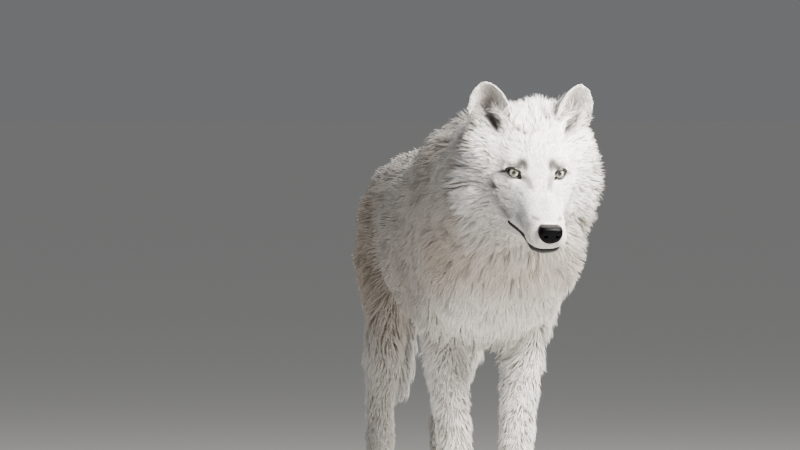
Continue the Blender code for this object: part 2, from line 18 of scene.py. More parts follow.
import bmesh
import bpy
import numpy as np
from bpy.types import ID, Material, Mesh, Node, NodeSocket, NodeTree, Object
from mathutils import Matrix, Vector
from mathutils.bvhtree import BVHTree
from mathutils.kdtree import KDTree


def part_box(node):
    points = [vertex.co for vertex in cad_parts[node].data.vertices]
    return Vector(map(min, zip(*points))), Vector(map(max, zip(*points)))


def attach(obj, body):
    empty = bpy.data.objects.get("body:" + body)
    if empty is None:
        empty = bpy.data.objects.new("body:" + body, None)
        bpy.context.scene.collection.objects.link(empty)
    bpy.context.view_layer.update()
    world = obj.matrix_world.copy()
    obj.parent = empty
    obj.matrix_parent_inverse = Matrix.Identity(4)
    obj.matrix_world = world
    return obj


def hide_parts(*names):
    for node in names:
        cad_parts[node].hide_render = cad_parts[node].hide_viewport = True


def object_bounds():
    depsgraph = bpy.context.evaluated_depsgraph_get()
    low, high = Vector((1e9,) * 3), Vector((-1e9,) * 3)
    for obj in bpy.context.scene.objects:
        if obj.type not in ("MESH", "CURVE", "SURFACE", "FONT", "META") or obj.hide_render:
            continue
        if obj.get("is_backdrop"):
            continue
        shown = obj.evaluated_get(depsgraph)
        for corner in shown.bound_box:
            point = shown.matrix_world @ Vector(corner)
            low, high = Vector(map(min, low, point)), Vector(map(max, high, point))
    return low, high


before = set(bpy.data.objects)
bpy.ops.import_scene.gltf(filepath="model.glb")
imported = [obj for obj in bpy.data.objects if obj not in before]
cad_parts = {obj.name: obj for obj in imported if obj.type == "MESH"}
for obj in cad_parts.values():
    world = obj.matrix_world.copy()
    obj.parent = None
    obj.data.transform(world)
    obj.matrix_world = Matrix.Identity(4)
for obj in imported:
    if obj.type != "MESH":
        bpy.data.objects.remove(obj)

logging.basicConfig(level=logging.INFO, format="%(message)s")
LOG = logging.getLogger("arctic_wolf")

Array = np.ndarray
Triple = tuple[float, float, float]
AddNode = Callable[..., Node]
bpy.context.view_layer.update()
MM = 0.001
WELD = 0.01 * MM  # corners nearer to each other than this are one
BODY = "root"
BAKE_MAP = "OFBake"
BAKE_PATCH = 0.003  # breadth of a lock's patch on the map


class Side(Enum):
    """Which of a pair of parts is meant, as the sign of its x."""

    LEFT = 1
    RIGHT = -1

    @property
    def word(self) -> str:
        """The word that the part's name ends with."""
        return self.name.lower()


# --- small tools ---
def linear(code: str) -> tuple[float, float, float, float]:
    """Turns an sRGB hex colour to linear.

    Args:
        code: Six hex digits, such as "f2eee6".

    Returns:
        Red, green, blue and an alpha of 1.
    """
    values = [int(code[i : i + 2], 16) / 255 for i in (0, 2, 4)]
    flat = [v / 12.92 if v <= 0.04045 else ((v + 0.055) / 1.055) ** 2.4 for v in values]
    return (*flat, 1.0)


def smoothstep(low: float, high: float, value: Array) -> Array:
    """Eases from 0 at low to 1 at high.

    Args:
        low: Where the step starts.
        high: Where it ends; it may be below low.
        value: The values to ease.

    Returns:
        The eased values, from 0 to 1.
    """
    part = np.clip((value - low) / (high - low), 0.0, 1.0)
    return part * part * (3 - 2 * part)


def bell(values: Array, middle: float, breadth: float) -> Array:
    """1 at the middle, falling softly to 0 about two breadths away."""
    return np.exp(-(((values - middle) / breadth) ** 2))


def unit(vectors: Array) -> Array:
    """Vectors of length 1 along those given, row by row."""
    length = np.linalg.norm(vectors, axis=-1, keepdims=True)
    return vectors / np.maximum(length, 1e-12)


def turns(count: int) -> Array:
    """Angles that go evenly once round."""
    return np.linspace(0, 2 * math.pi, count, endpoint=False)


def stem(name: str) -> str:
    """A part's name without its side."""
    return name.replace("_left", "").replace("_right", "")


def add_node(tree: NodeTree, kind: str, inputs: dict | None = None, **settings) -> Node:
    """Adds a shader node with its settings, values and links.

    Args:
        tree: The node tree it goes into.
        kind: The node's type name, after its "ShaderNode".
        inputs: Socket name or number to a value, or to the output socket that feeds it.
        settings: Properties of the node itself.

    Returns:
        The new node.
    """
    node = tree.nodes.new("ShaderNode" + kind)
    for name, value in settings.items():
        setattr(node, name, value)
    for key, value in (inputs or {}).items():
        if isinstance(value, NodeSocket):
            tree.links.new(value, node.inputs[key])
        else:
            node.inputs[key].default_value = value
    return node


def span(low: float, high: float, first: float, last: float) -> dict[str, float]:
    """The inputs of a node that maps low to first and high to last."""
    return {"From Min": low, "From Max": high, "To Min": first, "To Max": last}


def mesh_from(name: str, points: Array, faces: Array) -> Mesh:
    """A mesh whose faces all have the same number of corners.

    Args:
        name: The mesh's name.
        points: Vertices, one row each.
        faces: Corner numbers, one row for each face.

    Returns:
        The new mesh, shaded smooth.
    """
    mesh = bpy.data.meshes.new(name)
    count, corners = faces.shape
    mesh.vertices.add(len(points))
    mesh.vertices.foreach_set("co", points.astype(np.float32).ravel())
    mesh.loops.add(faces.size)
    mesh.loops.foreach_set("vertex_index", faces.astype(np.int32).ravel())
    mesh.polygons.add(count)
    mesh.polygons.foreach_set("loop_start", np.arange(0, faces.size, corners, dtype=np.int32))
    mesh.update(calc_edges=True)
    mesh.shade_smooth()
    return mesh


def ring_faces(rings: int, sides: int, closed: bool = False) -> Array:
    """Four-cornered faces between rings of points that follow each other.

    Args:
        rings: How many rings there are.
        sides: Points in a ring.
        closed: Whether the last ring joins up with the first.

    Returns:
        Corner numbers, one row for each face.
    """
    faces = []
    for ring in range(rings if closed else rings - 1):
        near, far = ring * sides, (ring + 1) % rings * sides
        for side in range(sides):
            beside = (side + 1) % sides
            faces.append((near + side, near + beside, far + beside, far + side))
    return np.array(faces)


def read_points(mesh: Mesh) -> Array:
    """The mesh's vertices, one row each."""
    points = np.empty(len(mesh.vertices) * 3, np.float32)
    mesh.vertices.foreach_get("co", points)
    return points.reshape(-1, 3).astype(np.float64)


def write_points(mesh: Mesh, points: Array) -> None:
    """Moves the mesh's vertices to these points."""
    mesh.vertices.foreach_set("co", points.astype(np.float32).ravel())
    mesh.update()


def read_normals(mesh: Mesh) -> Array:
    """The mesh's vertex normals, one row each."""
    normals = np.empty(len(mesh.vertices) * 3, np.float32)
    mesh.vertex_normals.foreach_get("vector", normals)
    return normals.reshape(-1, 3).astype(np.float64)


def read_edges(mesh: Mesh) -> tuple[Array, Array]:
    """The vertices at one end and at the other end of the mesh's edges."""
    edges = np.empty(len(mesh.edges) * 2, np.int32)
    mesh.edges.foreach_get("vertices", edges)
    return edges[0::2], edges[1::2]


def write_attribute(mesh: Mesh, name: str, values: Array) -> None:
    """Stores one number, or one colour, for each vertex.

    Args:
        mesh: The mesh.
        name: The attribute's name, as the materials read it.
        values: One number each, or rows of red, green, blue and alpha.
    """
    colour = values.ndim == 2
    layer = mesh.attributes.new(name, "FLOAT_COLOR" if colour else "FLOAT", "POINT")
    layer.data.foreach_set("color" if colour else "value", values.astype(np.float32).ravel())


def solid_form(name: str) -> bmesh.types.BMesh:
    """One of the row's solids, with its corners joined and its faces outward."""
    form = bmesh.new()
    form.from_mesh(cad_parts[name].data)
    bmesh.ops.remove_doubles(form, verts=form.verts, dist=WELD)
    bmesh.ops.recalc_face_normals(form, faces=form.faces)
    return form


def mesh_of(form: bmesh.types.BMesh, name: str) -> Mesh:
    """Ends the editing of a form, as a new mesh of this name."""
    mesh = bpy.data.meshes.new(name)
    form.to_mesh(mesh)
    form.free()
    return mesh


@contextmanager
def editing(mesh: Mesh) -> Iterator[bmesh.types.BMesh]:
    """Opens the mesh for editing, and writes it back at the end."""
    form = bmesh.new()
    form.from_mesh(mesh)
    form.verts.ensure_lookup_table()
    yield form
    form.to_mesh(mesh)
    form.free()


def linked(name: str, data: ID) -> Object:
    """A new object in the scene, which holds this mesh, light or camera."""
    made = bpy.data.objects.new(name, data)
    bpy.context.scene.collection.objects.link(made)
    return made


def applied(worker: Object) -> Mesh:
    """The object's mesh with its modifiers applied; the object goes."""
    depsgraph = bpy.context.evaluated_depsgraph_get()
    mesh = bpy.data.meshes.new_from_object(worker.evaluated_get(depsgraph))
    bpy.data.objects.remove(worker)
    return mesh


def remeshed(mesh: Mesh, voxel: float) -> Mesh:
    """One closed surface round all that the mesh holds, in even faces as broad as the voxel."""
    worker = linked("worker", mesh)
    voxels = worker.modifiers.new("one_surface", "REMESH")
    voxels.mode, voxels.voxel_size = "VOXEL", voxel
    return applied(worker)


def tree_of(mesh: Mesh) -> BVHTree:
    """The mesh's surface, ready to be asked for its nearest point."""
    faces = [polygon.vertices[:] for polygon in mesh.polygons]
    return BVHTree.FromPolygons(read_points(mesh).tolist(), faces)


def nearest(known: Array, asked: Array) -> tuple[Array, Array]:
    """Finds the known point nearest to each point asked about.

    Args:
        known: The points to choose from.
        asked: The points asked about.

    Returns:
        The number of the nearest known point, and how far away it is, for each.
    """
    tree = KDTree(len(known))
    for number, point in enumerate(known):
        tree.insert(point, number)
    tree.balance()
    found = [tree.find(point)[1:] for point in asked]
    return np.array([number for number, _ in found], int), np.array([apart for _, apart in found])


def finished(name: str, mesh: Mesh, finish: Material) -> Object:
    """Makes a piece of the animal, which rides on its one body.

    Args:
        name: The piece's name.
        mesh: Its mesh, in the row frame.
        finish: Its material.

    Returns:
        The new object.
    """
    piece = linked(name, mesh)
    mesh.materials.clear()
    mesh.materials.append(finish)
    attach(piece, BODY)
    LOG.info("%s: %d faces", name, len(mesh.polygons))
    return piece


class Surface:
    """Points joined by edges, with what smooths values over them."""

    def __init__(self, near: Array, far: Array, count: int) -> None:
        """Counts each point's neighbours.

        Args:
            near: The point at one end of each edge.
            far: The point at its other end.
            count: How many points there are.
        """
        self.near, self.far, self.count = near, far, count
        ends = np.bincount(near, minlength=count) + np.bincount(far, minlength=count)
        self.ends = np.maximum(ends, 1)[:, None]

    @classmethod
    def of_mesh(cls, mesh: Mesh) -> "Surface":
        """The mesh's own vertices and edges."""
        return cls(*read_edges(mesh), len(mesh.vertices))

    def pooled(self, points: Array, cell: float) -> tuple["Surface", Array]:
        """A coarser surface of the patches that the points share.

        Args:
            points: Where the points are.
            cell: Width of a patch.

        Returns:
            The coarse surface, and the patch of each point.
        """
        _, patch = np.unique(np.floor(points / cell).astype(int), axis=0, return_inverse=True)
        patch = patch.ravel()
        pairs = np.sort(np.stack([patch[self.near], patch[self.far]], 1), axis=1)
        pairs = np.unique(pairs[pairs[:, 0] != pairs[:, 1]], axis=0)
        return Surface(pairs[:, 0], pairs[:, 1], patch.max() + 1), patch

    def mean(self, values: Array) -> Array:
        """Each vertex's mean over its neighbours, column by column."""
        columns = []
        for column in values.T:
            total = np.bincount(self.near, column[self.far], self.count)
            total += np.bincount(self.far, column[self.near], self.count)
            columns.append(total)
        return np.stack(columns, 1) / self.ends

    def smooth(self, values: Array, passes: int, share: float | Array = 0.5) -> Array:
        """Spreads values over the surface.

        Args:
            values: Rows, one for each vertex.
            passes: How many times each moves towards its neighbours' mean.
            share: How far it moves each time.

        Returns:
            The smoothed rows.
        """
        for _ in range(passes):
            values = values + (self.mean(values) - values) * share
        return values


# --- the head's own axes ---
class Head:
    """The head's frame: x to its left, y backwards and z up, from between the eyes."""

    TURN = math.radians(1.7)
    PITCH = math.radians(21.5)
    ROLL = math.radians(1.8)
    EYE_DEPTH = 6.5 * MM

    def __init__(self) -> None:
        """Finds the frame from the two eyeballs."""
        middles = [sum(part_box(f"eye_{side.word}"), Vector()) / 2 for side in Side]
        turn = Matrix.Rotation(self.TURN, 3, "Z") @ Matrix.Rotation(self.PITCH, 3, "X")
        self.axes = np.array(turn @ Matrix.Rotation(self.ROLL, 3, "Y"))
        between = np.array(sum(middles, Vector()) / 2)
        self.origin = between - self.axes @ np.array([0, self.EYE_DEPTH, 0])

    def local(self, points: Array) -> Array:
        """Points of the row frame in the head's own axes."""
        return (points - self.origin) @ self.axes

    def world(self, points: Array) -> Array:
        """Points of the head's axes in the row frame."""
        return self.origin + points @ self.axes.T


HEAD = Head()


# --- how the coat grows ---
@dataclass(frozen=True)
class Pelage:
    """How the coat grows on one part: lengths in millimetres, plot in square millimetres."""

    depth: float  # from the hide to the outline of the coat
    hair: float  # length of a lock
    width: float  # across a lock near its root
    plot: float  # hide that one lock grows from
    gather: float  # how far neighbouring locks draw together at their tips
    lie: Triple = (0.0, 0.0, 0.0)

    def row(self) -> list[float]:
        """The values in metres, with the lie last."""
        sizes = [self.depth * MM, self.hair * MM, self.width * MM, self.plot * MM * MM, self.gather]
        return sizes + list(self.lie)


BODY_PELAGE: dict[str, Pelage] = {
    "neck": Pelage(37, 58, 1.7, 7.5, 0.55, (0, 0.8, -0.75)),
    "chest": Pelage(32, 56, 2.0, 12.5, 0.45, (0, 1.0, -0.80)),
    "ribs_and_loin": Pelage(27, 56, 2.5, 22.0, 0.32, (0, 1.0, -0.35)),
    "hindquarters": Pelage(26, 52, 2.5, 22.0, 0.32, (0, 1.0, -0.50)),
    "tail": Pelage(32, 70, 2.4, 17.0, 0.40, (0, 0.35, -1.0)),
    "foreleg_upper": Pelage(24, 42, 2.2, 15.0, 0.40, (0, 0.6, -0.9)),
    "foreleg_forearm": Pelage(11, 22, 1.8, 12.0, 0.22, (0, 0.25, -1.0)),
    "foreleg_pastern": Pelage(7, 15, 1.6, 11.0, 0.15, (0, 0.10, -1.0)),
    "forepaw": Pelage(4.5, 11, 1.4, 8.5, 0.12, (0, -0.6, -0.6)),
    "hindleg_thigh": Pelage(22, 42, 2.2, 17.0, 0.40, (0, 0.6, -0.8)),
    "hindleg_gaskin": Pelage(12, 24, 1.9, 13.0, 0.25, (0, 0.45, -1.0)),
    "hindleg_metatarsus": Pelage(7, 15, 1.6, 11.0, 0.15, (0, -0.1, -1.0)),
    "hindpaw": Pelage(4.5, 11, 1.4, 8.5, 0.12, (0, -0.6, -0.6)),
    "ear": Pelage(2.6, 10, 1.0, 2.8, 0.25, (0, 0.15, 1.0)),
}


@dataclass(frozen=True)
class Spot:
    """A named place on the head, in millimetres of its own axes, and the coat there."""

    place: Triple
    coat: Pelage


HEAD_PELAGE: dict[str, Spot] = {
    "behind_nose": Spot((0, -100, -46), Pelage(1.5, 4, 0.7, 1.6, 0.0)),
    "bridge": Spot((0, -60, -28), Pelage(2.4, 6, 0.8, 2.1, 0.15)),
    "muzzle_side": Spot((32, -75, -68), Pelage(2.4, 6, 0.8, 1.8, 0.15)),
    "lip_front": Spot((10, -104, -88), Pelage(1.4, 3, 0.7, 1.8, 0.0)),
    "lip_side": Spot((36, -66, -82), Pelage(1.5, 4, 0.8, 1.8, 0.0)),
    "lip_corner": Spot((44, -36, -77), Pelage(2.0, 6, 0.9, 2.0, 0.1)),
    "chin": Spot((0, -92, -102), Pelage(4, 9, 0.9, 2.0, 0.20)),
    "jaw": Spot((22, -48, -108), Pelage(6, 13, 1.0, 2.6, 0.35)),
    "stop": Spot((0, 0, 0), Pelage(3, 8, 0.8, 1.8, 0.20)),
    "lids": Spot((38, -4, 0), Pelage(2, 5, 0.7, 1.5, 0.0)),
    "brow": Spot((35, 5, 28), Pelage(5, 11, 0.9, 2.0, 0.30)),
    "forehead": Spot((0, 35, 60), Pelage(8, 16, 1.0, 2.5, 0.45)),
    "crown": Spot((0, 75, 95), Pelage(15, 27, 0.9, 2.9, 0.35)),
    "cheek": Spot((64, 6, -30), Pelage(6, 13, 1.0, 2.2, 0.30)),
    "low_cheek": Spot((52, -6, -62), Pelage(6, 13, 1.0, 2.4, 0.35)),
    "temple": Spot((75, 45, 30), Pelage(12, 20, 1.1, 3.1, 0.50)),
    "ruff_edge": Spot((84, 34, -44), Pelage(20, 34, 1.2, 3.4, 0.65)),
    "ruff": Spot((112, 70, -40), Pelage(34, 52, 1.1, 4.2, 0.58)),
    "low_ruff": Spot((85, 55, -120), Pelage(34, 52, 1.1, 4.2, 0.58)),
    "throat": Spot((0, 30, -165), Pelage(34, 50, 1.5, 5.2, 0.60)),
    "nape": Spot((0, 130, 60), Pelage(36, 52, 1.6, 5.5, 0.60)),
}
HEAD_NODES = ("cranium", "muzzle", "lower_jaw", "nose", "eye")
NOSE_PLACE = np.array([0.0, -0.110, -0.055])
SPOT_REACH = 8 * MM  # within this of a spot, the coat is the spot's own
GRAVITY = 0.60  # how much the longer coat behind the face hangs down
FACE_DEPTH = (0.10, 0.20)  # from the nose, over which that coat begins


def head_growth(places: Array) -> Array:
    """The coat at places on the head.

    Args:
        places: Points in the head's own axes.

    Returns:
        Rows as Pelage.row gives them, with the lie in the row frame.
    """
    spots, rows = [], []
    for spot in HEAD_PELAGE.values():
        for sign in (1, -1) if spot.place[0] else (1,):
            spots.append(np.array(spot.place) * MM * (sign, 1, 1))
            rows.append(spot.coat.row()[:5])
    apart = np.square(places[:, None, :] - np.array(spots)[None]).sum(2)
    weight = 1.0 / (apart + SPOT_REACH**2) ** 3
    values = weight @ np.array(rows) / weight.sum(1, keepdims=True)
    away = places - NOSE_PLACE
    distance = np.linalg.norm(away, axis=1, keepdims=True)
    lie = unit(away) @ HEAD.axes.T
    lie[:, 2:] -= GRAVITY * smoothstep(*FACE_DEPTH, distance)
    return np.hstack([values, unit(lie)])


# --- the hide ---
@dataclass
class EyeOpening:
    """The almond between the lids of one eye, in the plane across its line of sight."""

    side: Side
    outward: float = math.radians(26)
    lift: float = math.radians(10)
    slant: float = math.radians(12)
    dip: float = 4.4 * MM  # of the corner by the nose
    low: float = 0.7 * MM  # by which the opening's middle lies below the eyeball's
    peak: float = 3.2 * MM  # of the upper lid, this much nearer the nose than the middle
    spacing: float = 36.5 * MM
    half_length: float = 14.4 * MM
    inward: float = 0.8 * MM  # by which the opening reaches further towards the nose
    upper: float = 7.8 * MM
    lower: float = 6.4 * MM
    upper_curve: tuple[float, float] = (2.5, 0.75)  # powers that shape the lid: its middle, its ends
    lower_curve: tuple[float, float] = (2.0, 0.85)
    ball: float = 12.0 * MM
    lid: float = 1.0 * MM
    corner: float = 6.4 * MM
    reach: float = 10.0 * MM

    def __post_init__(self) -> None:
        """Works out the eye's own axes: away from the nose, up, and along its sight."""
        sign = self.side.value
        self.centre = np.array([sign * self.spacing, HEAD.EYE_DEPTH, 0.0])
        level = np.array([sign * math.sin(self.outward), -math.cos(self.outward), 0.0])
        away = np.array([sign * math.cos(self.outward), math.sin(self.outward), 0.0])
        up = np.array([0.0, 0.0, 1.0])
        sight = level * math.cos(self.lift) + up * math.sin(self.lift)
        rise = up * math.cos(self.lift) - level * math.sin(self.lift)
        across = away * math.cos(self.slant) + rise * math.sin(self.slant)
        upward = rise * math.cos(self.slant) - away * math.sin(self.slant)
        self.axes = np.stack([across, upward, sight], 1)

    def flat(self, places: Array) -> Array:
        """Places of the head's axes in the eye's own: across, up and along its sight."""
        return (places - self.centre) @ self.axes

    @staticmethod
    def around(flat: Array, wide: float, ahead: float, deep: float) -> Array:
        """Which points are in a short round bar along the sight.

        Args:
            flat: Points in the eye's own axes.
            wide: The bar's radius.
            ahead: Where its middle is along the sight.
            deep: Half its length.

        Returns:
            True for each point in the bar.
        """
        return (np.hypot(flat[:, 0], flat[:, 1]) < wide) & (np.abs(flat[:, 2] - ahead) < deep)

    def outside(self, flat: Array) -> Array:
        """How far each point is outside the almond, seen along the sight; negative inside."""
        across = flat[:, 0] + self.inward
        up = flat[:, 1] + self.low - self.midline(across)
        along = np.clip(np.abs(across) / self.half_length, 0, 1)
        top, bottom = self.lids(across)
        beyond = np.hypot(np.maximum(np.abs(across) - self.half_length, 0), up)
        level = np.maximum(up - top, -bottom - up)
        return np.where(along < 1, level, beyond)

    def lids(self, across: Array) -> tuple[Array, Array]:
        """How far the upper and the lower lid are drawn apart from the midline."""
        along = np.clip(across / self.half_length, -1, 1)
        skew = self.peak / self.half_length
        shifted = np.clip((along + skew * (1 - along**2)), -1, 1)
        (middle, ends), (low_middle, low_ends) = self.upper_curve, self.lower_curve
        top = self.upper * (1 - np.abs(shifted) ** middle) ** ends
        bottom = self.lower * (1 - np.abs(along) ** low_middle) ** low_ends
        return top, bottom

    def midline(self, across: Array) -> Array:
        """How far the line between the corners bends down towards the nose."""
        start, most = 0.25, 1.25
        return -self.dip * np.clip(start - across / self.half_length, 0, most) ** 2 / most**2

    def lid_height(self, flat: Array) -> Array:
        """How far along the sight the lids lie, over the ball and down to the corners."""
        from_middle = np.square(flat[:, :2]).sum(1)
        over_ball = np.sqrt(np.maximum((self.ball + self.lid) ** 2 - from_middle, 0))
        return np.maximum(over_ball, self.corner)

    def outline(self, steps: int) -> Array:
        """The almond's edge, as points on the lids in the head's axes."""
        turn = turns(steps)
        across = self.half_length * np.cos(turn)
        top, bottom = self.lids(across)
        up = np.where(np.sin(turn) >= 0, top, -bottom) + self.midline(across)
        flat = np.stack([across - self.inward, up - self.low, np.zeros(steps)], 1)
        flat[:, 2] = self.lid_height(flat) + 0.1 * MM
        return self.centre + flat @ self.axes.T


EYES = {side: EyeOpening(side) for side in Side}
MOUTH_LINE = ((0, -106, -90), (12, -104.5, -89), (21, -100, -89), (28, -88, -90))  # from the middle
MOUTH_LINE += ((33, -68, -91), (37, -46, -89), (41, -28, -84), (44, -18, -80))  # to the corner
MOUTH_BACK, MOUTH_HEIGHT = -0.02, -0.085  # the mouth is before this, and about this high


def mouth_path(steps: int) -> Array:
    """The closed mouth from its right corner round to its left, in the head's axes.

    Args:
        steps: Points along the path.

    Returns:
        The path's points.
    """
    half = np.array(MOUTH_LINE, float) * MM
    whole = np.vstack([half[:0:-1] * (-1, 1, 1), half])
    for _ in range(3):
        # rounds the corners of the path by cutting each at a quarter
        early, late = whole[:-1], whole[1:]
        cut = np.stack([0.75 * early + 0.25 * late, 0.25 * early + 0.75 * late], 1)
        whole = np.vstack([whole[:1], cut.reshape(-1, 3), whole[-1:]])
    length = np.concatenate([[0], np.cumsum(np.linalg.norm(np.diff(whole, axis=0), axis=1))])
    even = np.linspace(0, length[-1], steps)
    return np.stack([np.interp(even, length, column) for column in whole.T], 1)


def near_mouth(places: Array, high: float, steps: int = 120) -> tuple[Array, Array]:
    """Which places are near the mouth.

    Args:
        places: Points in the head's own axes.
        high: How far above and below the mouth they may be.
        steps: Points of the mouth's path that they are measured from.

    Returns:
        The numbers of those places, and how far each is from the mouth.
    """
    beside = np.abs(places[:, 2] - MOUTH_HEIGHT) < high
    chosen = np.flatnonzero((places[:, 1] < MOUTH_BACK) & beside)
    return chosen, nearest(mouth_path(steps), places[chosen])[1]


class Hide:
    """The wolf's skin: one closed surface inside the coat, with lids and a closed mouth."""

    VOXEL = 2.5 * MM
    SEAM = 0.5 * MM  # by which each solid is swollen, so that the cuts between them close
    THINNEST = 0.55  # share of the flesh's half thickness that the coat may take
    ROUNDS = 5  # of drawing in, each ended by a new set of faces
    STEPS = 3
    PATCH = 10 * MM  # over which the coat of one part blends into the next
    NAPE = (0.05, 0.11)  # how far behind the eyes the head's coat gives way to the neck's
    NO_FAR_SIDE = 0.5  # thickness where a ray finds no far side
    RAY_START = 0.0004  # how far under the surface a ray starts
    LONG_COAT = 22 * MM  # the hide is smoothed by the coat's depth over this
    SOFTEST, FIRMEST = 0.65, 0.06
    UNDER_NOSE = 8 * MM
    EAR_DEPTH = 1.0 * MM
    EAR_HOLLOW_DEPTH = 7 * MM
    EYE_BAR = (17 * MM, 8 * MM, 14 * MM)  # radius, middle and half length of the finer faces there
    MOUTH_BAND = 9 * MM
    LID_CREASE = (1.0 * MM, 5.0 * MM, 1.6 * MM)  # depth, distance from the opening, breadth
    SUNK = (4 * MM, 5 * MM)  # how far the hide in the opening lies under the lids and the ball
    IN_OPENING = -0.6 * MM  # outside the lids' edge, from which the hide sinks
    LID_BLEND = 2 * MM  # from the opening to where the lids start to blend into the face
    FLEWS = (-1.6, 5 * MM, 4 * MM)  # depth in mm, distance from the mouth and breadth of each fold
    UNDER_LIP = (2.6, 3 * MM, 4 * MM)
    MOUTH_CREASE = (2.4, 0.0, 2.2 * MM)
    THROAT_MIDDLE = (0.0, -0.045, -0.080)  # in the jaws, which the mouth is pressed in towards
    FACE_FINENESS = 0.80  # of the body's thinning out
    FACE_END = (0.05, 0.09)  # how far behind the eyes the face's finer mesh ends
    LEVELS = 20  # of fineness
    TRIANGLES = 130_000

    def __init__(self) -> None:
        """Builds the surface and works out how the coat grows on it."""
        self.names: list[str] = []
        outline = self.join_solids()
        solids = tree_of(outline)
        mesh = remeshed(outline, self.VOXEL)
        self.outline_tree = tree_of(mesh)
        self.owner = self.owners(solids, read_points(mesh))
        growth = self.growth(mesh)
        mesh = self.shrink(mesh, growth)
        self.refine_face(mesh)
        self.sculpt(mesh)
        self.mesh = self.thin_out(mesh)
        self.unwrap()

    def join_solids(self) -> Mesh:
        """All the solids in one mesh, each swollen a little."""
        form = bmesh.new()
        self.face_owner: list[int] = []
        for name in sorted(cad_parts):
            part = solid_form(name)
            part.normal_update()
            moves = [vertex.normal * self.SEAM for vertex in part.verts]
            for vertex, move in zip(part.verts, moves):
                vertex.co += move
            swollen = mesh_of(part, name)
            form.from_mesh(swollen)
            self.face_owner += [len(self.names)] * len(swollen.polygons)
            self.names.append(name)
            bpy.data.meshes.remove(swollen)
        return mesh_of(form, "solids")

    def owners(self, solids: BVHTree, points: Array) -> Array:
        """The number of the solid that each point belongs to."""
        return np.array([self.face_owner[solids.find_nearest(Vector(p))[2]] for p in points])

    def numbers(self, *stems: str) -> list[int]:
        """The numbers of the solids with these names, less their sides."""
        return [number for number, name in enumerate(self.names) if stem(name) in stems]

    def growth(self, mesh: Mesh) -> Array:
        """Rows of coat values for each vertex, blended from part to part."""
        points = read_points(mesh)
        rows = np.zeros((len(points), 8))
        for number, name in enumerate(self.names):
            mine = self.owner == number
            if stem(name) in HEAD_NODES:
                rows[mine] = head_growth(HEAD.local(points[mine]))
            else:
                rows[mine] = BODY_PELAGE[stem(name)].row()
            if name == "nose":
                rows[mine, 0] = self.UNDER_NOSE
        surface = Surface.of_mesh(mesh)
        coarse, patch = surface.pooled(points, self.PATCH)
        held = np.bincount(patch)[:, None]
        pools = np.stack([np.bincount(patch, column) for column in rows.T], 1) / held
        on_ear = np.isin(self.owner, self.numbers("ear"))
        blended = coarse.smooth(pools, 10)[patch]
        behind = smoothstep(*self.NAPE, HEAD.local(points)[:, 1])
        kept = np.where(np.isin(self.owner, self.numbers(*HEAD_NODES)), 1 - behind, 0.0)
        kept[on_ear] = 1.0
        blended += (rows - blended) * kept[:, None]
        rows = surface.smooth(blended, 6)
        rows[on_ear, 0] = self.EAR_DEPTH
        thin = surface.smooth(self.thickness(mesh)[:, None], 6)[:, 0]
        rows[:, 0] = np.minimum(rows[:, 0], self.THINNEST * thin / 2)
        rows[:, :1] = surface.smooth(rows[:, :1], 8)
        self.base_points = points
        self.base_rows = rows
        return rows

    def thickness(self, mesh: Mesh) -> Array:
        """How thick the flesh is under each vertex."""
        tree = tree_of(mesh)
        points = read_points(mesh)
        through = np.full(len(points), self.NO_FAR_SIDE)
        for number, (point, normal) in enumerate(zip(points, read_normals(mesh))):
            inward = Vector(normal) * -1
            found = tree.ray_cast(Vector(point) + inward * self.RAY_START, inward)
            if found[3] is not None:
                through[number] = found[3]
        return through

    def shrink(self, mesh: Mesh, growth: Array) -> Mesh:
        """Draws the surface in by the coat's depth, a little at a time.

        Args:
            mesh: The outline of the coat.
            growth: The coat's values on it.

        Returns:
            The surface of the hide.
        """
        depth = growth[:, :1]
        for _ in range(self.ROUNDS):
            surface = Surface.of_mesh(mesh)
            soft = np.clip(depth / self.LONG_COAT, self.FIRMEST, self.SOFTEST)
            for _ in range(self.STEPS):
                normals = unit(surface.smooth(read_normals(mesh), 2))
                points = read_points(mesh) - normals * depth / (self.ROUNDS * self.STEPS)
                write_points(mesh, surface.smooth(points, 2, soft))
            old = read_points(mesh)
            mesh = remeshed(mesh, self.VOXEL)
            depth = depth[nearest(old, read_points(mesh))[0]]
        self.drop_scraps(mesh)
        self.add_ears(mesh)
        return remeshed(mesh, self.VOXEL)

    @staticmethod
    def drop_scraps(mesh: Mesh) -> None:
        """Takes the small loose bodies off the mesh."""
        near, far = read_edges(mesh)
        label = np.arange(len(mesh.vertices))
        before = label + 1
        while not np.array_equal(label, before):
            before = label.copy()
            low = np.minimum(label[near], label[far])
            np.minimum.at(label, near, low)
            np.minimum.at(label, far, low)
            label = label[label]
        main = np.bincount(label).argmax()
        with editing(mesh) as form:
            loose = [form.verts[number] for number in np.flatnonzero(label != main)]
            bmesh.ops.delete(form, geom=loose, context="VERTS")

    def add_ears(self, mesh: Mesh) -> None:
        """Adds the ears in their full size, less their short coat, down to their roots."""
        with editing(mesh) as form:
            for side in Side:
                ear = remeshed(mesh_of(solid_form(f"ear_{side.word}"), "ear"), self.VOXEL)
                points = Surface.of_mesh(ear).smooth(read_points(ear), 3)
                write_points(ear, points)
                write_points(ear, points - read_normals(ear) * self.EAR_DEPTH)
                form.from_mesh(ear)

    def refine_face(self, mesh: Mesh) -> None:
        """Finer faces round the eyes and along the mouth, where the lids and lips are shaped."""
        places = HEAD.local(read_points(mesh))
        near = np.zeros(len(places), bool)
        for eye in EYES.values():
            near |= eye.around(eye.flat(places), *self.EYE_BAR)
        muzzle, apart = near_mouth(places, 0.02, 60)
        near[muzzle] |= apart < self.MOUTH_BAND
        with editing(mesh) as form:
            edges = [e for e in form.edges if near[e.verts[0].index] and near[e.verts[1].index]]
            bmesh.ops.subdivide_edges(form, edges=edges, cuts=2, use_grid_fill=True)
            bmesh.ops.triangulate(form, faces=form.faces)

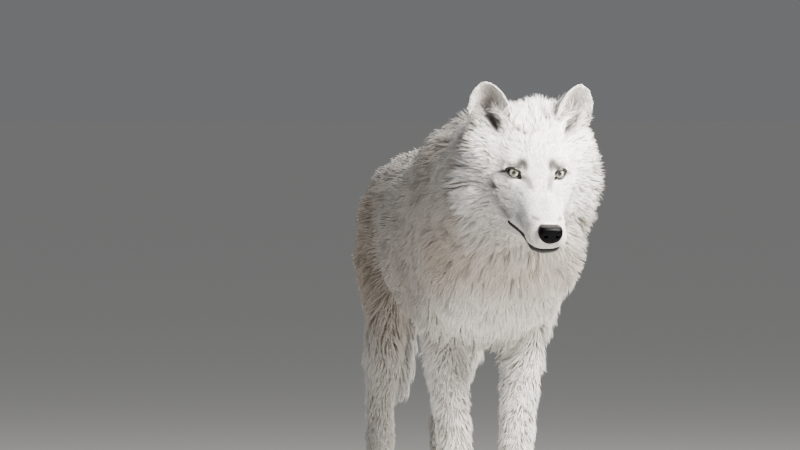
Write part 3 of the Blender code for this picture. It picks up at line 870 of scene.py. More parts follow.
    def sculpt(self, mesh: Mesh) -> None:
        """Shapes the lids over the eyeballs, the hollows of the ears and the crease of the mouth."""
        places = HEAD.local(read_points(mesh))
        for eye in EYES.values():
            self.shape_lids(eye, places)
        facing = -(read_normals(mesh) @ HEAD.axes)[:, 1]
        for side in Side:
            hollow = EAR_HOLLOW.share(places, side) * smoothstep(0.0, 0.4, facing)
            places[:, 1] += self.EAR_HOLLOW_DEPTH * hollow
        near, apart = near_mouth(places, 0.025)
        path = mouth_path(120)
        above = places[near, 2] > path[nearest(path, places[near])[0], 2]
        inward = unit(np.array(self.THROAT_MIDDLE) - places[near])
        press = np.zeros(len(near))
        for (depth, *band), where in ((self.FLEWS, above), (self.UNDER_LIP, ~above), (self.MOUTH_CREASE, 1)):
            press += depth * bell(apart, *band) * where
        places[near] += inward * (press * MM)[:, None]
        write_points(mesh, HEAD.world(places))

    def shape_lids(self, eye: EyeOpening, places: Array) -> None:
        """Moves the places round an eye along its sight, on to its lids.

        Args:
            eye: The opening between the lids.
            places: The hide's points in the head's own axes, which are changed.
        """
        flat = eye.flat(places)
        outside = eye.outside(flat)
        front = (outside < eye.reach) & (flat[:, 2] > 0)
        lids = eye.lid_height(flat)
        depth, *band = self.LID_CREASE
        crease = depth * bell(outside, *band) * (flat[:, 1] > 0)
        share = 1 - smoothstep(self.LID_BLEND, eye.reach, outside)
        height = flat[:, 2] + (lids - crease - flat[:, 2]) * share
        under_lids, under_ball = self.SUNK
        sunk = np.minimum(lids - under_lids, eye.ball - under_ball)
        height = np.where(outside < self.IN_OPENING, sunk, height)
        places[front] += np.outer((height - flat[:, 2])[front], eye.axes[:, 2])

    def thin_out(self, mesh: Mesh) -> Mesh:
        """Fewer faces where long coat hides them."""
        worker = linked("worker", mesh)
        behind = smoothstep(*self.FACE_END, HEAD.local(read_points(mesh))[:, 1])
        broad = self.FACE_FINENESS + (1 - self.FACE_FINENESS) * behind
        group = worker.vertex_groups.new(name="broad")
        levels = np.round(broad * self.LEVELS).astype(int)
        for level in np.unique(levels):
            group.add(np.flatnonzero(levels == level).tolist(), level / self.LEVELS, "REPLACE")
        thin = worker.modifiers.new("thin", "DECIMATE")
        thin.ratio = self.TRIANGLES / len(mesh.polygons)
        thin.vertex_group = group.name
        mesh = applied(worker)
        mesh.name = "hide"
        mesh.shade_smooth()
        return mesh

    def unwrap(self) -> None:
        """Unwraps the hide over its own shape, for the hide and for every lock's root."""
        worker = linked("worker", self.mesh)
        self.mesh.uv_layers.new(name=BAKE_MAP)
        bpy.context.view_layer.objects.active = worker
        worker.select_set(True)
        bpy.ops.object.mode_set(mode="EDIT")
        bpy.ops.mesh.select_all(action="SELECT")
        bpy.ops.uv.smart_project(angle_limit=math.radians(66), island_margin=0.001)
        bpy.ops.object.mode_set(mode="OBJECT")
        bpy.data.objects.remove(worker)


# --- colours of coat and hide, with painted shade ---
@dataclass(frozen=True)
class Mark:
    """A soft-edged stroke of colour on the head, in millimetres of its own axes."""

    place: Triple
    radii: Triple
    colour: str
    strength: float
    end: Triple | None = None  # where a long stroke ends
    only: Side | None = None  # the one side that has it, where the other has not
    edge: float = 2.0  # power of its fading: 2 is soft, more is crisp

    def sides(self) -> list[Side]:
        """The sides that have the stroke; a stroke on the middle line counts once."""
        if self.only:
            return [self.only]
        return list(Side) if self.place[0] else [Side.LEFT]

    def share(self, places: Array, side: Side) -> Array:
        """How much of the colour each place takes.

        Args:
            places: Points in the head's own axes.
            side: Which side's copy of the stroke is meant.

        Returns:
            Shares from 0 to the stroke's strength.
        """
        mirror = np.array([side.value, 1, 1]) * MM
        start = np.array(self.place) * mirror
        radii = np.array(self.radii) * MM
        way = (np.array(self.end) * mirror - start) if self.end else np.zeros(3)
        scaled, line = (places - start) / radii, way / radii
        part = np.clip(scaled @ line / max(line @ line, 1e-9), 0, 1) if self.end else np.zeros(len(places))
        apart = np.linalg.norm(scaled - part[:, None] * line, axis=1)
        return self.strength * np.exp(-(apart**self.edge))


HEAD_MARKS_AND_SHADE = (
    Mark((43, 2, 10), (13, 11, 5.0), "2c2925", 0.75, edge=3),  # round the upper lid
    Mark((34, -2, 10), (8.0, 14, 6.0), "0b0a09", 0.93, (25, 6, 15), edge=3),  # grey over each inner corner
    Mark((21, 2, 9), (5.5, 12, 10), "1d1b19", 0.88, edge=3),
    Mark((20, -12, -4), (6.0, 9, 6.0), "4d4747", 0.72, (16, -30, -12), edge=3),  # stripe beside the bridge
    Mark((52, 5, -0.5), (4.0, 11, 3.0), "050404", 0.97, (72, 14, -16), Side.RIGHT, 4),  # line from the corner
    Mark((52, 5, -0.5), (4.0, 11, 3.0), "1c1818", 0.85, (60, 8, -5), Side.LEFT, 3),  # shorter on the left
    Mark((31, -30, -22), (8, 12, 8), "94969f", 0.55, (33, -64, -42)),  # painted shade along the muzzle's side, in this stroke and the next
    Mark((35, -52, -56), (6, 12, 6), "777880", 0.55, (36, -74, -62)),
    Mark((24, -95, -39), (3.6, 7, 3.0), "18181b", 0.80, (18, -102, -38), edge=3),
    Mark((0, -100, -40), (12, 12, 6), "b0acae", 0.45, (0, -60, -28)),
    Mark((15, 40, 53), (4.6, 4.6, 4.6), "020202", 0.98, (16, 54, 39), Side.RIGHT, 4),  # speck on the forehead
    Mark((20, 50, 59), (7, 7, 3.6), "332e2e", 0.65, (34, 58, 47), Side.RIGHT, 3),
    Mark((70, 13, -19), (7.5, 10, 3.6), "0a0909", 0.92, (66, 9, -30), Side.RIGHT, 3),  # on the cheek
    Mark((66, 9, -32), (8, 12, 8), "6b6360", 0.65, (46, -18, -68)),  # painted shade along the crease where the mask ends, down towards the mouth's corner
    Mark((0, -60, -116), (32, 40, 14), "6f5e49", 0.70),  # painted shadow under the jaw
    Mark((72, 84, 89), (19, 15, 30), "452f29", 0.92),  # skin inside the ear
    Mark((77, 82, 80), (13, 15, 14), "120604", 0.98, (57, 70, 48), edge=3),  # and its hollow, darkened with painted shade
    Mark((0, -122, -55), (19, 15, 15), "0c0a0b", 1.0, edge=8),  # behind the nose pad
)
EAR_HOLLOW = Mark((73, 79, 69), (8.5, 18, 8), "", 1.0, (58, 69, 48), edge=2)
CREST = Mark((42, 75, 92), (16, 45, 32), "", 1.0, (0, 75, 96), Side.RIGHT, 3)  # fur standing between the ears
TALL_CREST = Mark((10, 74, 95), (20, 50, 40), "", 1.0, (58, 70, 80), Side.LEFT, 3)
WHISKER_ROWS = ((-0.062, 0.5), (-0.069, 0.8), (-0.076, 1.0))


class Markings:
    """The colours that hide and coat share, at any place on the animal, painted shade included."""

    WHITE = linear("f4f2ef")
    # painted shade: the grey of the neck and body behind the ruff, as if they lay in shade
    SHADE = linear("9d948a")
    WARM = linear("a48d70")
    SADDLE = linear("8a8279")
    SOLE = linear("3a3230")
    WHISKER = linear("2b292c")
    LIP = linear("1d1a1b")
    RUFF_HEIGHTS = (-0.15, -0.08, 0.05, 0.10)  # over the eyes
    RUFF_EDGE = (0.020, 0.056, 0.058, 0.110)  # how far behind the eyes the white ruff ends there, and the neck's painted shade begins
    LIP_REACH = (3.0, 2.4)  # mm of dark hair beside the mouth, and what the front adds
    DOT = 1.2 * MM
    DOTS = (4, -0.098, 9.5 * MM, 1.2 * MM)  # whisker pits in a row, the first, their spacing and fall

    def __init__(self, low: Vector, high: Vector) -> None:
        """Takes the animal's box, from which the body's patches are placed.

        Args:
            low: Lowest corner.
            high: Highest corner.
        """
        self.low, self.high = np.array(low), np.array(high)
        self.size = self.high - self.low

    def at(self, points: Array) -> Array:
        """The coat's colour at each point, painted shade included.

        Args:
            points: Places in the row frame.

        Returns:
            Rows of linear red, green, blue and alpha.
        """
        _, along, height = ((points - self.low) / self.size).T
        aside = np.abs(points[:, 0]) / (self.size[0] / 2)
        places = HEAD.local(points)
        colour = np.tile(np.array(self.WHITE), (len(points), 1))
        patches = self.body_patches(places, along, height, aside)
        patches.append((smoothstep(0.012, 0.004, points[:, 2]), self.SOLE))
        for mark in HEAD_MARKS_AND_SHADE:
            patches += [(mark.share(places, side), linear(mark.colour)) for side in mark.sides()]
        patches.append((0.75 * self.whisker_dots(places), self.WHISKER))
        patches.append((0.9 * self.lip_line(places), self.LIP))
        for share, other in patches:
            colour += (np.array(other) - colour) * share[:, None]
        return colour

    def body_patches(self, places: Array, along: Array, height: Array, aside: Array) -> list[tuple]:
        """The soft patches of the body, which cover each other in this order: painted shade over the neck and
        body, a grey saddle, warm tints on the rump and the throat (the throat's partly painted shade), and a
        warm tint low on the legs.

        Args:
            places: Points in the head's own axes.
            along: How far each is from the animal's front to its back, from 0 to 1.
            height: How high it is, from 0 to 1.
            aside: How far it is from the middle plane, from 0 to 1.

        Returns:
            For each patch its share at every point, and its colour.
        """
        # painted shade on the neck behind the white ruff, at its sides and high up; the hair there is also a
        # little darker in life
        edge = np.interp(places[:, 2], self.RUFF_HEIGHTS, self.RUFF_EDGE)
        neck = smoothstep(0.000, 0.026, places[:, 1] - edge) * smoothstep(0.35, 0.80, aside)
        neck *= smoothstep(0.48, 0.60, height)
        # painted shade over the body behind the neck, lighter low down
        body = np.maximum(0.95 * neck, smoothstep(0.235, 0.315, along + 0.30 * (height - 0.70)))
        body *= 0.25 + 0.75 * smoothstep(0.32, 0.58, height)
        saddle = body * smoothstep(0.66, 0.86, height)
        rump = bell(along, 0.76, 0.10) * bell(height, 0.62, 0.17) * smoothstep(0.25, 0.7, aside)
        # warm tint at the throat, partly the coat's own colour and partly painted shade under the head
        throat = bell(along, 0.17, 0.08) * bell(height, 0.63, 0.07)
        return [
            # painted shade first, then the grey saddle and the warm tints
            (0.85 * body, self.SHADE),
            (0.40 * saddle, self.SADDLE),
            (0.45 * rump, self.WARM),
            (0.50 * throat, self.WARM),
            (0.12 * smoothstep(0.40, 0.15, height), self.WARM),
        ]

    def lip_line(self, places: Array) -> Array:
        """How dark the short hair beside the mouth is at places of the head's axes."""
        snout, apart = near_mouth(places, 0.02)
        least, more = self.LIP_REACH
        reach = (least + more * smoothstep(-0.05, -0.10, places[snout, 1])) * MM
        line = np.zeros(len(places))
        line[snout] = np.exp(-((apart / reach) ** 4))
        return line

    def whisker_dots(self, places: Array) -> Array:
        """How dark the small pits of the whiskers are at places of the head's axes."""
        dark = np.zeros(len(places))
        count, first, spacing, fall = self.DOTS
        for height, start in WHISKER_ROWS:
            for step in range(count):
                spot = np.array([first + spacing * (step + start), height - fall * step])
                apart = np.square((np.abs(places[:, 1:]) - np.abs(spot)) / self.DOT).sum(1)
                dark = np.maximum(dark, np.exp(-apart) * (np.abs(places[:, 0]) > 0.012))
        return dark


# --- finishes ---
class Finish:
    """A material of the animal or of its studio."""

    name: str

    def make(self) -> Material:
        """The material: one shaded surface, as the kind of finish draws it."""
        made = bpy.data.materials.new(self.name)
        made.use_nodes = True
        tree = made.node_tree
        tree.nodes.clear()
        output = add_node(tree, "OutputMaterial")
        shader = add_node(tree, "BsdfPrincipled", self.surface(partial(add_node, tree)))
        tree.links.new(shader.outputs[0], output.inputs["Surface"])
        return made

    def surface(self, node: AddNode) -> dict:
        """Draws what varies over the surface.

        Args:
            node: Adds a node to the material, from its kind, inputs and settings.

        Returns:
            The shader's inputs, by name.
        """
        raise NotImplementedError


@dataclass(frozen=True)
class GuardHair(Finish):
    """Arctic wolf guard hair: keratin without pigment, grown, weathered and lightly oiled.

    White hair scatters light between its strands, so it is bright and soft, with a weak sheen;
    its warmer, darker colour near the roots is painted shade between the locks.
    """

    name: str = "wolf_guard_hair"
    # painted shade between the locks: the tone at a lock's root
    root: str = "a5998d"
    depth: float = 0.70  # share of a lock over which the painted shade at its root fades
    roughness: float = 0.62
    sheen: float = 0.25
    mottle: float = 14 * MM  # breadth of the faint blotches that weather leaves
    darkest: float = 0.66
    lightest: float = 1.14

    def surface(self, node: AddNode) -> dict:
        """Reads the coat's own attributes: its colours with their painted shade, and where each place is on
        its lock, which darkens it towards the root as painted shade.
        """
        colour_with_shade = node("Attribute", attribute_name="markings")
        along = node("Attribute", attribute_name="along")
        strand = node("Attribute", attribute_name="strand")
        rise = node("MapRange", {"Value": along.outputs["Fac"], "From Min": 0.0, "From Max": self.depth})
        # painted shade near the roots, where the locks shade each other
        painted_root_shade = {0: 1.0, 6: colour_with_shade.outputs["Color"], 7: linear(self.root)}
        deep = node("Mix", painted_root_shade, data_type="RGBA", blend_type="MULTIPLY")
        grown = {0: rise.outputs[0], 6: deep.outputs[2], 7: colour_with_shade.outputs["Color"]}
        hair = node("Mix", grown, data_type="RGBA")
        place = node("TexCoord")
        clouds = {"Vector": place.outputs["Object"], "Scale": 1 / self.mottle, "Detail": 3.0}
        blotch = node("TexNoise", clouds)
        mixed = node("Math", {0: strand.outputs["Fac"], 1: blotch.outputs["Fac"]}, operation="ADD")
        tones = span(0.0, 2.0, self.darkest, self.lightest)
        tone = node("MapRange", {"Value": mixed.outputs[0], **tones})
        shaded = node("HueSaturation", {"Color": hair.outputs[2], "Value": tone.outputs[0]})
        soft = {"Specular IOR Level": 0.35, "Sheen Weight": self.sheen, "Sheen Roughness": 0.5}
        return {"Base Color": shaded.outputs[0], "Roughness": self.roughness, **soft}


@dataclass(frozen=True)
class Underfur(Finish):
    """Hide with its dense underfur, as grown: it gives a soft, matt ground that fine hair lines break."""

    name: str = "wolf_hide_with_underfur"
    roughness: float = 0.78
    hair_width: float = 0.9 * MM
    stretch: Triple = (1.0, 0.35, 0.45)  # draws the noise out along the body
    relief: float = 0.8 * MM
    darkest: float = 0.80
    lightest: float = 1.02

    def surface(self, node: AddNode) -> dict:
        """Reads the hide's colours with their painted shade, and draws fine hair lines as tone and relief."""
        colour_with_shade = node("Attribute", attribute_name="markings")
        place = node("TexCoord")
        drawn = node("Mapping", {"Vector": place.outputs["Object"], "Scale": self.stretch})
        fine = {"Scale": 0.35 / self.hair_width, "Detail": 4.0, "Roughness": 0.65}
        lines = node("TexNoise", {"Vector": drawn.outputs[0], **fine})
        tones = span(0.3, 0.7, self.darkest, self.lightest)
        tone = node("MapRange", {"Value": lines.outputs["Fac"], **tones})
        shaded = node("HueSaturation", {"Color": colour_with_shade.outputs["Color"], "Value": tone.outputs[0]})
        bump = node("Bump", {"Height": lines.outputs["Fac"], "Distance": self.relief, "Strength": 0.7})
        soft = {"Roughness": self.roughness, "Specular IOR Level": 0.25, "Sheen Weight": 0.3}
        return {"Base Color": shaded.outputs[0], "Normal": bump.outputs[0], **soft}


# --- the coat ---
class Coat:
    """Locks of guard hair over the whole hide, each a thin closed spike of three sides."""

    SEED = 11
    DENSITY = 1.0
    STATIONS = np.array([0.0, 0.38, 0.74])  # where along a lock its sections are
    GIRTH = np.array([0.75, 1.0, 0.62])
    SECTION = ((0.0, 0.62), (-1.0, -0.38), (1.0, -0.38))  # corners of a section: aside and up
    SOFTNESS = 0.35  # how far a lock is lit as the form under it is
    WISP, LOCK = 12, 90  # hairs that draw together closely, and then more loosely
    WISP_PULL, LOCK_PULL = 0.62, 0.45
    SHORT = 46 * MM  # a lock up to this long has one bend less
    TRIANGLES = (10, 16)  # in a short lock and in a long one
    MOST = 190_000  # triangles in one piece
    CREST_HEIGHT = 26 * MM
    CREST_LOW = 0.90  # share of that height on the right of the crown
    CREST_STEEP = 0.45  # by which the crest's locks reach less far over the hide
    OVER = 1.18  # a lock is at least this many times as long as the way to the outline
    LIDS_DEPTH = (0.8 * MM, 0.50)  # of the coat at the opening, and what each metre from it adds
    LIDS_HAIR = (1.6 * MM, 0.55)
    LIDS_BAR = (6 * MM, 16 * MM)  # middle and half length of the eye's surroundings along its sight
    BARE_BY_LIDS = (20 * MM, 1.2 * MM)  # looked at this near an eye, and bare this near its opening
    BARE_BY_MOUTH = (2.8, 3.2)  # mm of bare lip, and what the front adds
    NOSE_PAD = (18.5 * MM, -57 * MM, 16.5 * MM, -104 * MM)  # half width, middle, half height, back
    SOLE = 2.5 * MM  # the paws' soles are bare up to here
    EAR_FRONT = Mark((74, 62, 78), (17, 24, 15), "", 1.0, (56, 46, 44), edge=4)  # an ear's open front
    EAR_FRONT_DEPTH, EAR_FRONT_HAIR = 3 * MM, 9 * MM
    TURNS = (0.10, 0.16, 0.14)  # how far single hairs, wisps and locks stray from the lie
    LENGTHS, LOCK_LENGTHS = (0.78, 1.12), 0.08
    HEIGHTS, LOCK_HEIGHTS, WISP_HEIGHTS = (0.70, 1.06), 0.08, 0.13
    STRAY, STRAY_HEIGHT = 0.92, 0.16  # one hair in twelve stands out, by this much more
    HEAD_HEIGHT = 0.10  # by which the head's coat stands higher
    STEEPEST = 0.92  # height of a lock's tip over its length
    PAST_OUTLINE = 9 * MM
    ARCH, FREE_ARCH = 1.75, 0.45  # how soon a lock bends over, and how much later on head and belly
    FLOOR_GAP = 0.6 * MM
    HEAD_END = (0.30, 0.16)  # behind the tip of the nose, over which the head's coat begins
    LOWEST = (0.08, 0.15)  # height of a short lock's tip over its length, and what length adds
    LENGTHENING = (15 * MM, 35 * MM)
    UNDERSIDE = (-0.3, -0.9)  # z of the way up, over which the hide turns to face down
    TONES = (0.6, 0.4)  # shares of a wisp's and of a hair's own tone
    REACH_POWER, GATHER_POWER = 1.15, 1.4  # how late along a lock it reaches out and draws in
    SHOWN_UNDER = 0.6  # of a lock's height: it takes its colour this far under its middle

    def __init__(self, hide: Hide, markings: Markings) -> None:
        """Plants and shapes the locks.

        Args:
            hide: The surface they grow from.
            markings: The colours they carry.
        """
        self.hide, self.markings = hide, markings
        self.random = np.random.default_rng(self.SEED)
        self.tree = tree_of(hide.mesh)
        self.plant()
        self.shape()

    def plant(self) -> None:
        """Chooses the roots, evenly for the ground that each lock takes."""
        mesh = self.hide.mesh
        points, normals = read_points(mesh), read_normals(mesh)
        source = nearest(self.hide.base_points, points)[0]
        owner = self.hide.owner[source]
        rows = self.coat_on(points, self.hide.base_rows[source].copy(), owner)
        corners = np.empty(len(mesh.polygons) * 3, np.int32)
        mesh.polygons.foreach_get("vertices", corners)
        corners = corners.reshape(-1, 3)
        mapped = np.empty(len(corners) * 6, np.float32)
        mesh.uv_layers[BAKE_MAP].uv.foreach_get("vector", mapped)
        mapped = mapped.reshape(-1, 3, 2)
        sides = points[corners]
        area = np.linalg.norm(np.cross(sides[:, 1] - sides[:, 0], sides[:, 2] - sides[:, 0]), axis=1) / 2
        share = area / rows[corners, 3].mean(1) * self.DENSITY * self.furred(sides.mean(1))
        total = np.cumsum(share)
        count = int(total[-1])
        face = np.searchsorted(total, (np.arange(count) + self.random.random(count)) * total[-1] / count)
        face = np.minimum(face, len(corners) - 1)
        mix = self.random.random((count, 2))
        over = mix.sum(1) > 1
        mix[over] = 1 - mix[over]
        weight = np.stack([1 - mix.sum(1), mix[:, 0], mix[:, 1]], 1)[:, :, None]
        self.root = (sides[face] * weight).sum(1)
        self.up = unit((normals[corners[face]] * weight).sum(1))
        self.rows = (rows[corners[face]] * weight).sum(1)
        self.uv = (mapped[face] * weight).sum(1)
        self.owner = owner[corners[face, 0]]

    def coat_on(self, points: Array, rows: Array, owner: Array) -> Array:
        """Fits the coat's depth and length to the hide as it was shaped.

        Args:
            points: The hide's vertices.
            rows: The coat's values there, as Pelage.row gives them.
            owner: The solid that each belongs to.

        Returns:
            The rows as they are to grow.
        """
        depth = np.array([self.hide.outline_tree.find_nearest(Vector(p))[3] for p in points])
        hair = np.maximum(rows[:, 1], self.OVER * depth)
        places = HEAD.local(points)
        middle, half = self.LIDS_BAR
        for eye in EYES.values():
            flat = eye.flat(places)
            away = np.where(np.abs(flat[:, 2] - middle) < half, np.maximum(eye.outside(flat), 0), 1.0)
            hair = np.minimum(hair, self.LIDS_HAIR[0] + self.LIDS_HAIR[1] * away)
            depth = np.minimum(depth, self.LIDS_DEPTH[0] + self.LIDS_DEPTH[1] * away)
        standing = self.CREST_HEIGHT * self.crest(points, owner)
        depth, hair = depth + standing, hair + standing
        open_front = np.maximum(*(self.EAR_FRONT.share(places, side) for side in Side))
        rows[:, 0] = depth + (self.EAR_FRONT_DEPTH - depth) * open_front
        rows[:, 1] = hair + (self.EAR_FRONT_HAIR - hair) * open_front
        return rows

    def crest(self, points: Array, owner: Array) -> Array:
        """How much the fur stands up between the ears, and 0 elsewhere and on the ears."""
        places = HEAD.local(points)
        low = self.CREST_LOW * CREST.share(places, CREST.only)
        tall = TALL_CREST.share(places, TALL_CREST.only)
        return np.where(np.isin(owner, self.hide.numbers("ear")), 0.0, np.maximum(low, tall))

    def furred(self, points: Array) -> Array:
        """1 where the coat grows, and 0 in the eyes and ears, on the nose, the lips and the soles."""
        places = HEAD.local(points)
        bare = points[:, 2] < self.SOLE
        wide, lids = self.BARE_BY_LIDS
        for eye in EYES.values():
            flat = eye.flat(places)
            bare |= eye.around(flat, wide, *self.LIDS_BAR) & (eye.outside(flat) < lids)
        snout, apart = near_mouth(places, 0.025)
        least, more = self.BARE_BY_MOUTH
        bare[snout] |= apart < (least + more * smoothstep(-0.03, -0.10, places[snout, 1])) * MM
        half_width, middle, half_height, back = self.NOSE_PAD
        pad = ((places[:, 0] / half_width) ** 2 + ((places[:, 2] - middle) / half_height) ** 2) < 1
        bare |= (places[:, 1] < back) & pad
        for side in Side:
            bare |= EAR_HOLLOW.share(places, side) > 0.5
        return np.where(bare, 0.0, 1.0)

    def shape(self) -> None:
        """Bends each lock over the body and draws neighbours together."""
        count = len(self.root)
        room, hair, self.width = self.rows[:, 0], self.rows[:, 1], self.rows[:, 2]
        lie = self.rows[:, 5:8]
        lie = unit(lie - self.up * (lie * self.up).sum(1, keepdims=True))
        wisp = self.gathered(self.WISP)
        lock = self.gathered(self.LOCK)
        by_hair, by_wisp, by_lock = self.TURNS
        turn = self.strayed(by_hair)
        turn += self.strayed(by_wisp, wisp) + self.strayed(by_lock, lock)
        aside = np.cross(self.up, lie)
        lie = lie * np.cos(turn)[:, None] + aside * np.sin(turn)[:, None]
        length = hair * self.random.uniform(*self.LENGTHS, count)
        length *= 1 + self.strayed(self.LOCK_LENGTHS, lock)
        on_head = smoothstep(*self.HEAD_END, self.root[:, 1] - self.hide.base_points[:, 1].min())
        top = room * self.random.uniform(*self.HEIGHTS, count)
        top *= 1 + self.strayed(self.LOCK_HEIGHTS, lock)
        top *= 1 + self.STRAY_HEIGHT * (self.random.random(count) > self.STRAY)
        top *= (1 + self.strayed(self.WISP_HEIGHTS, wisp)) * (1 + self.HEAD_HEIGHT * on_head)
        low, more = self.LOWEST
        least = length * (low + more * smoothstep(*self.LENGTHENING, length))
        top = np.clip(top, least, np.minimum(self.STEEPEST * length, room + self.PAST_OUTLINE))
        under = smoothstep(*self.UNDERSIDE, self.up[:, 2])
        of_wisp, of_hair = self.TONES
        self.tone = of_wisp * self.random.random(count)[wisp] + of_hair * self.random.random(count)
        arch = self.ARCH - self.FREE_ARCH * np.maximum(on_head, under)
        reach = np.sqrt(length**2 - top**2) * (1 - self.CREST_STEEP * self.crest(self.root, self.owner))
        stations = np.append(self.STATIONS, 1.0)
        spine = np.empty((count, len(stations), 3))
        lift = np.empty((count, len(stations), 3))
        for number, t in enumerate(stations):
            height = (top * (1 - (1 - t) ** arch))[:, None]
            flat = self.root + lie * (reach * t**self.REACH_POWER)[:, None]
            ground, up = self.settle(flat) if t > 0 else (self.root, self.up)
            spine[:, number] = ground + up * height
            lift[:, number] = up
        for group, power in ((wisp, self.WISP_PULL), (lock, self.LOCK_PULL)):
            pull = self.rows[:, 4, None] * power * stations[None] ** self.GATHER_POWER
            spine += (spine[group] - spine) * pull[:, :, None]
        spine[:, :, 2] = np.maximum(spine[:, :, 2], self.FLOOR_GAP)
        self.spine, self.lift, self.length = spine, lift, length
        self.shown = 0.5 * (spine[:, 1] + spine[:, 2]) - self.up * (self.SHOWN_UNDER * top)[:, None]

    def strayed(self, amount: float, group: Array | slice = slice(None)) -> Array:
        """Normal draws for the locks; those of a group share one, where groups are given."""
        return self.random.normal(0, amount, len(self.root))[group]

    def gathered(self, size: int) -> Array:
        """For each lock, the one in its group that the group is drawn to.

        Args:
            size: Locks in a group.

        Returns:
            The number of that lock.
        """
        heads = np.sort(self.random.choice(len(self.root), max(1, len(self.root) // size), replace=False))
        return heads[nearest(self.root[heads], self.root)[0]]

    def settle(self, points: Array) -> tuple[Array, Array]:
        """Lays points back on the hide, so that hair follows the form.

        Args:
            points: Places near the hide.

        Returns:
            The places on the hide below them, and the way up there.
        """
        ground, up = np.empty_like(points), np.empty_like(points)
        for number, point in enumerate(points):
            ground[number], up[number] = self.tree.find_nearest(point)[:2]
        return ground, unit(up + self.up)

    def piece(self, name: str, chosen: Array, finish: Material) -> Object:
        """One mesh of locks.

        Args:
            name: The piece's name.
            chosen: The numbers of its locks.
            finish: The material of the hair.

        Returns:
            The new piece.
        """
        short = self.length[chosen] < self.SHORT
        kinds = [self.locks(chosen[short], (0, 1)), self.locks(chosen[~short], (0, 1, 2))]
        joined = [np.concatenate(both) for both in zip(*(kind[:6] for kind in kinds))]
        points, normals, colour_with_shade, along, strand, place = joined
        faces = np.vstack([kinds[0][6], kinds[1][6] + len(kinds[0][0])])
        mesh = mesh_from(name, points, faces)
        for layer, values in (("markings", colour_with_shade), ("along", along), ("strand", strand)):
            write_attribute(mesh, layer, values)
        baked = mesh.uv_layers.new(name=BAKE_MAP)
        baked.uv.foreach_set("vector", place[faces.ravel()].astype(np.float32).ravel())
        mesh.normals_split_custom_set_from_vertices(normals.astype(np.float32))
        self.triangles += len(faces)
        LOG.info("%s: %d locks, %d triangles", name, len(chosen), len(faces))
        return finished(name, mesh, finish)

    def locks(self, chosen: Array, rings: tuple[int, ...]) -> tuple[Array, ...]:
        """The corners and faces of locks with sections at some of the stations.

        Args:
            chosen: The numbers of the locks.
            rings: The numbers of the stations that have a section; the tip comes after them.

        Returns:
            For each corner its place, normal, colour, share along the lock, strand tone and
            place on the map, and then the triangles.
        """
        corners, count = len(self.SECTION), len(chosen)
        stations, girth = self.STATIONS[list(rings)], self.GIRTH[list(rings)]
        spine = self.spine[chosen][:, [*rings, -1]]
        lift = self.lift[chosen][:, [*rings, -1]]
        tangent = unit(np.diff(spine, axis=1))
        across = unit(np.cross(tangent, lift[:, :-1]))
        upward = np.cross(across, tangent)
        radius = self.width[chosen, None] * girth[None] / 2
        each = len(rings) * corners + 1
        points, normals = np.empty((count, each, 3)), np.empty((count, each, 3))
        along, patch = np.empty((count, each)), np.empty((count, each, 2))
        for number, (aside, up) in enumerate(self.SECTION):
            mine = slice(number, each - 1, corners)
            outward = across * aside + upward * up
            points[:, mine] = spine[:, :-1] + outward * radius[:, :, None]
            normals[:, mine] = unit(unit(outward) * (1 - self.SOFTNESS) + lift[:, :-1] * self.SOFTNESS)
            along[:, mine] = stations
            patch[:, mine, 0] = number / (corners - 1)
        patch[:, :-1, 1] = np.repeat(stations, corners)
        points[:, -1], normals[:, -1], along[:, -1] = spine[:, -1], lift[:, -1], 1.0
        patch[:, -1] = (0.5, 1.0)
        faces = [(0, 1, 2)]
        for low in range(0, each - 1, corners):
            for number in range(corners):
                beside = low + (number + 1) % corners
                if low + corners == each - 1:
                    faces.append((beside, low + number, each - 1))
                else:
                    faces.append((beside, low + number, low + number + corners))
                    faces.append((beside, low + number + corners, beside + corners))
        faces = np.array(faces)[None] + (np.arange(count) * each)[:, None, None]
        colour_with_shade = np.repeat(self.markings.at(self.shown[chosen]), each, axis=0)
        strand = np.repeat(self.tone[chosen], each)
        place = self.uv[chosen, None] + patch * BAKE_PATCH
        flat = (points.reshape(-1, 3), normals.reshape(-1, 3), colour_with_shade, along.ravel(), strand)
        return (*flat, place.reshape(-1, 2), faces.reshape(-1, 3))

    def build(self, finish: Material) -> list[Object]:
        """The coat in pieces named for the part of the body that they cover."""
        pieces = []
        self.triangles = 0
        each = np.where(self.length < self.SHORT, *self.TRIANGLES)
        region = np.array([self.region(name) for name in self.hide.names])[self.owner]
        side = np.where(self.root[:, 0] > HEAD.origin[0] * 0.5, "left", "right")
        for name in sorted(set(region)):
            for word in ("left", "right"):
                chosen = np.flatnonzero((region == name) & (side == word))
                parts = -(-int(each[chosen].sum()) // self.MOST)
                for number in range(parts):
                    label = f"coat_{name}_{word}" + (f"_{number + 1}" if parts > 1 else "")
                    pieces.append(self.piece(label, chosen[number::parts], finish))
        LOG.info("coat: %d locks, %d triangles", len(self.root), self.triangles)
        return pieces

    @staticmethod
    def region(node: str) -> str:
        """The part of the body that a solid's coat is counted with."""
        for start in ("foreleg", "forepaw", "hindleg", "hindpaw"):
            if node.startswith(start):
                return start[:4] + "leg"
        return "muzzle" if node in ("nose", "lower_jaw") or node.startswith("eye") else node.split("_")[0]


